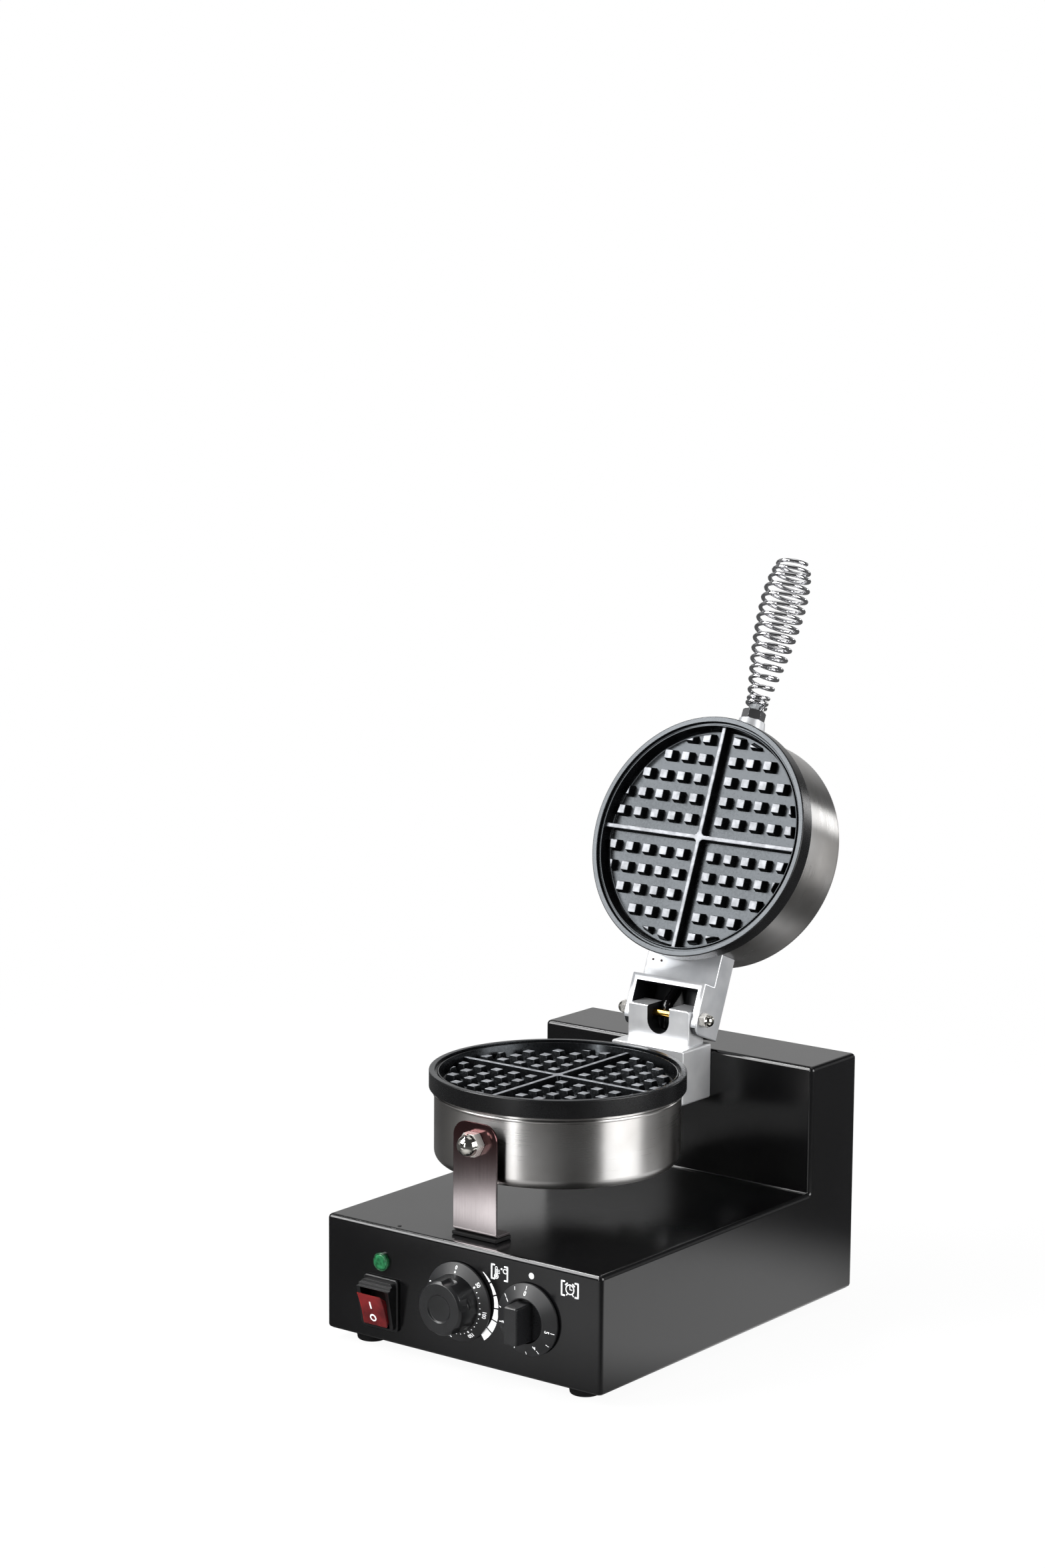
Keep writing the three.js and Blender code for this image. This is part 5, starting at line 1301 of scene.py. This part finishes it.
class WAFFLE_OT_panel_marks(bpy.types.Operator):
    """Prints the generic scale, dot and pictograms on the front panel"""

    bl_idname = "waffle.panel_marks"
    bl_label = "Panel marks"

    def execute(self, context):
        marks = []

        def put(obj, x, z):
            marks.append(moved(obj, at(x, z, 0)))

        def line(x0, z0, x1, z1, width=0.7):
            stroke = bar(width, math.hypot(x1 - x0, z1 - z0) + width)
            moved(stroke, Matrix.Rotation(math.atan2(z1 - z0, x1 - x0) - math.pi / 2, 4, "Z"))
            put(stroke, (x0 + x1) / 2, (z0 + z1) / 2)

        def ring(x, z, radius, width=0.6):
            inner, outer, half = radius - width / 2, radius + width / 2, ink / 2
            shape = [(inner, -half), (outer, -half), (outer, half), (inner, half)]
            put(turned("ring", shape, 40), x, z)

        # The wedge scale beside the temperature knob, in pieces that overlap a little
        pieces, start, sweep, overlap, radius = 6, 57, 113, 2.2, 36.4
        for k in range(pieces):
            edges = []
            for i in range(9):
                turn = start - sweep * k / pieces + (overlap - sweep / pieces) * i / 8
                wide = 0.4 + 7.2 * max((start - turn) / sweep, 0) ** 0.8
                c, s = math.cos(math.radians(turn)) * 0.86, math.sin(math.radians(turn)) * 0.86
                edges.append(((radius * c, radius * s), ((radius - wide) * c, (radius - wide) * s)))
            outer, inner = zip(*edges)
            put(prism("wedge", outer + inner[::-1], 2, -ink / 2, ink), 4.4, dial_z)
        put(dot(2.3), 65.5, 77.2)

        # Brackets, thermometer and clock over the two knobs
        low, high = 68.8, 79.2
        for left, right in ((29.3, 43.7), (92.6, 107.2)):
            for x, tip in ((left, 2.4), (right, -2.4)):
                line(x, low, x, high, 1.2)
                line(x, low, x + tip, low, 1.2)
                line(x, high, x + tip, high, 1.2)
        x, bulb, top = 33.6, 70.9, 77.0
        ring(x, bulb, 1.7)
        put(dot(0.9), x, bulb)
        for side in (-1, 1):
            line(x + side, 72.4, x + side, top, 0.45)
        ring(x, top, 1.0, 0.45)
        line(x, 71, x, 75.4, 0.5)
        for z in (73.4, 74.6, 75.8):
            line(35.3, z, 36.6, z, 0.4)
        put(lettering("°C", 5.2), 40.2, 75.6)
        x, z = 100, 73.8
        ring(x, z, 3.5, 0.8)
        line(x, z, x, 76.2, 0.6)
        line(x, z, 101.8, z, 0.6)
        for side in (-1, 1):
            line(x + side * 2.5, 78.1, x + side * 3.9, 76.9, 1.0)
            line(x + side * 2.2, 70.4, x + side * 3.0, 69.4, 0.7)
        printed(marks, "panel_print", "base", facing(0, -0.09, 0))
        return {"FINISHED"}


class WAFFLE_OT_gland(bpy.types.Operator):
    """Finishes the gland in the back wall"""

    bl_idname = "waffle.gland"
    bl_label = "Gland"

    def execute(self, context):
        profile = [
            (4.2, -7.5), (7.6, -7.5), (7.6, 0.3), (11, 0.3), (11, 3), (8.4, 4), (6.6, 9), (4.2, 9),
        ]
        gland = turned("lead_gland", fillet(profile, {3: 0.3, 4: 0.8, 5: 0.8, 6: 1.2}), 64)
        teeth = [moved(rod(1.2, 0.5, 4, 12, "tooth"), at(x, y, 0)) for x, y in around(12, 11.6)]
        cut(gland, *teeth)
        place = to_case @ at(gland_x, depth, gland_z) @ rotated(-90, "X")
        finish(gland, "frame plastic", "base", place, ["cord_gland"])
        return {"FINISHED"}


# ---- Stage


class WAFFLE_OT_stage(bpy.types.Operator):
    """Sets the pale floor, the soft lamps, the world and the camera"""

    bl_idname = "waffle.stage"
    bl_label = "Stage"

    def execute(self, context):
        sizes = context.scene.waffle_stage
        white = (1, 1, 1, 1)
        bpy.ops.object.select_all(action="DESELECT")
        bpy.ops.mesh.primitive_plane_add(size=14, location=(0, 0, -0.0003))
        floor = bpy.context.object
        floor.name = "floor"
        material, tree, shader = new_material("pale floor")
        shader.inputs["Base Color"].default_value = (*sizes.floor, 1)
        shader.inputs["Roughness"].default_value = 0.9
        shader.inputs["Specular IOR Level"].default_value = 0.0
        rays = node(tree, "ShaderNodeLightPath").outputs
        spot = node(tree, "ShaderNodeTexCoord").outputs["Object"]

        def fade(x, y, start, end, first, last):
            """A value that changes with the distance from a point of the floor, in metres."""
            far = node(
                tree, "ShaderNodeVectorMath", {0: spot, 1: (x, y, 0.0)}, operation="DISTANCE",
            )
            return ramp(tree, far.outputs["Value"], start, end, first, last, "SMOOTHSTEP")

        # The floor as mirrors see it: pools of painted light beside the machine and ahead of it,
        # and a painted bright card
        beside = fade(0.24, 0.02, 0.1, 0.27, 1.25, 0.06)
        ahead = fade(0.03, -0.42, 0.05, 0.28, 0.8, 0.05)
        axes = node(tree, "ShaderNodeSeparateXYZ", {0: spot})
        card = both(
            tree, fade(-0.21, -0.49, 0.05, 0.15, 1.15, 0.0),
            ramp(tree, axes.outputs["Y"], -0.485, -0.46, 1.0, 0.0, "SMOOTHSTEP"), "MULTIPLY",
        )
        lit = both(tree, both(tree, beside, ahead, "ADD"), card, "ADD")
        glow = both(tree, lit, sizes.mirrored, "MULTIPLY")
        mirrored = node(tree, "ShaderNodeEmission", {"Color": white, "Strength": glow})
        plain = node(tree, "ShaderNodeEmission", {"Color": white, "Strength": 1.0})
        # The camera sees a white floor, with a little of its shadows near the machine
        afar = fade(0.0, 0.0, 0.5, 1.4, 0.94, 1.0)
        share = both(tree, rays["Is Camera Ray"], afar, "MULTIPLY")
        result = shader.outputs[0]
        for part, light in ((share, plain), (rays["Is Glossy Ray"], mirrored)):
            inputs = {0: part, 1: result, 2: light.outputs[0]}
            result = node(tree, "ShaderNodeMixShader", inputs).outputs[0]
        tree.links.new(result, tree.nodes["Material Output"].inputs["Surface"])
        floor.data.materials.append(material)

        world = bpy.data.worlds.new("studio")
        context.scene.world = world
        world.use_nodes = True
        tree = world.node_tree
        rays = node(tree, "ShaderNodeLightPath").outputs
        spot = node(tree, "ShaderNodeTexCoord").outputs["Generated"]
        level = sizes.surround
        # Soft bright patches, seen in mirrors only: direction, widths in degrees, brightness
        for azimuth, elevation, wide, core, bright in (
            (127, 12, 42, 14, 0.62), (60, 6, 26, 8, 0.3), (-160, 8, 24, 6, 0.35),
        ):
            near = node(
                tree, "ShaderNodeVectorMath", {0: spot, 1: direction(azimuth, elevation)},
                operation="DOT_PRODUCT",
            )
            edge, full = math.cos(math.radians(wide)), math.cos(math.radians(core))
            patch = ramp(tree, near.outputs["Value"], edge, full, 0.0, bright, "SMOOTHSTEP")
            level = both(tree, level, patch, "ADD")
        for ray, value in (("Is Diffuse Ray", 0.35), ("Is Camera Ray", 1.0)):
            level = node(tree, "ShaderNodeMix", {0: rays[ray], 2: level, 3: value}).outputs[0]
        back = tree.nodes["Background"]
        tree.links.new(level, back.inputs["Strength"])
        back.inputs["Color"].default_value = white

        # Soft boxes: name, direction, distance, width and height in metres, how bright they look,
        # and whether they stand upright
        for name, azimuth, elevation, distance, width, height, radiance, upright in (
            ("key box", -128, 31, 2.0, 1.2, 1.2, 10.0, False),
            ("right box", 5, 15, 1.8, 1.2, 1.3, 6.5, True),
            ("front strip", -93, 10, 2.2, 0.3, 1.3, 10.5, True),
            ("rear strip", 73, 10, 2.0, 0.3, 0.34, 6.0, False),
            ("edge strip", -160, 54, 1.9, 0.9, 0.16, 26.0, False),
            ("top box", 80, 80, 1.7, 1.2, 1.2, 0.8, False),
        ):
            data = bpy.data.lights.new(name, "AREA")
            data.shape = "RECTANGLE"
            data.size, data.size_y = width, height
            data.energy = radiance * sizes.key * math.pi * width * height
            lamp = bpy.data.objects.new(name, data)
            context.scene.collection.objects.link(lamp)
            way = direction(azimuth, elevation)
            lamp.location = Vector((0, 0, 0.22)) + way * distance
            if upright:
                way.z = 0
            lamp.rotation_mode = "QUATERNION"
            lamp.rotation_quaternion = (-way).to_track_quat("-Z", "Y")

        camera_data = bpy.data.cameras.new("camera")
        camera = bpy.data.objects.new("camera", camera_data)
        context.scene.collection.objects.link(camera)
        camera_data.lens = 80.034
        camera_data.sensor_width = 36
        camera_data.sensor_fit = "AUTO"
        camera_data.clip_start, camera_data.clip_end = 0.05, 50
        azimuth, elevation, roll = 37.433, 9.292, math.radians(0.409)
        back_axis = direction(azimuth - 90, elevation)
        right = direction(azimuth, 0)
        up = back_axis.cross(right)
        side = right * math.cos(roll) + up * math.sin(roll)
        top = up * math.cos(roll) - right * math.sin(roll)
        turn = Matrix((side, top, back_axis)).transposed()
        camera.matrix_world = to_case @ at(1523.71, -1919.77, 829.21) @ turn.to_4x4()
        context.scene.camera = camera
        context.scene.view_settings.view_transform = "Standard"
        return {"FINISHED"}


class WAFFLE_PT_panel(bpy.types.Panel):
    """Lists the settings and the steps in the sidebar"""

    bl_idname = "WAFFLE_PT_panel"
    bl_label = "Waffle maker"
    bl_space_type = "VIEW_3D"
    bl_region_type = "UI"
    bl_category = "Waffle maker"

    def draw(self, context):
        for title in ("waffle_case", "waffle_mould", "waffle_stage"):
            settings = getattr(context.scene, title)
            box = self.layout.box()
            for key in settings.__annotations__:
                box.prop(settings, key)
        for step in steps:
            self.layout.operator(step.bl_idname)


steps = (
    WAFFLE_OT_finishes,
    WAFFLE_OT_case,
    WAFFLE_OT_feet,
    WAFFLE_OT_pans,
    WAFFLE_OT_support,
    WAFFLE_OT_hinge,
    WAFFLE_OT_lead,
    WAFFLE_OT_handle,
    WAFFLE_OT_temperature_knob,
    WAFFLE_OT_timer_knob,
    WAFFLE_OT_lamp_and_switch,
    WAFFLE_OT_panel_marks,
    WAFFLE_OT_gland,
    WAFFLE_OT_stage,
)
settings_classes = (
    ("waffle_case", WaffleCaseSettings),
    ("waffle_mould", WaffleMouldSettings),
    ("waffle_stage", WaffleStageSettings),
)


def register():
    for name, settings in settings_classes:
        bpy.utils.register_class(settings)
        setattr(bpy.types.Scene, name, bpy.props.PointerProperty(type=settings))
    for step in steps:
        bpy.utils.register_class(step)
    bpy.utils.register_class(WAFFLE_PT_panel)


def unregister():
    bpy.utils.unregister_class(WAFFLE_PT_panel)
    for step in reversed(steps):
        bpy.utils.unregister_class(step)
    for name, settings in reversed(settings_classes):
        delattr(bpy.types.Scene, name)
        bpy.utils.unregister_class(settings)


def main():
    register()
    for step in steps:
        group, name = step.bl_idname.split(".")
        getattr(getattr(bpy.ops, group), name)()


if __name__ == "__main__":
    main()
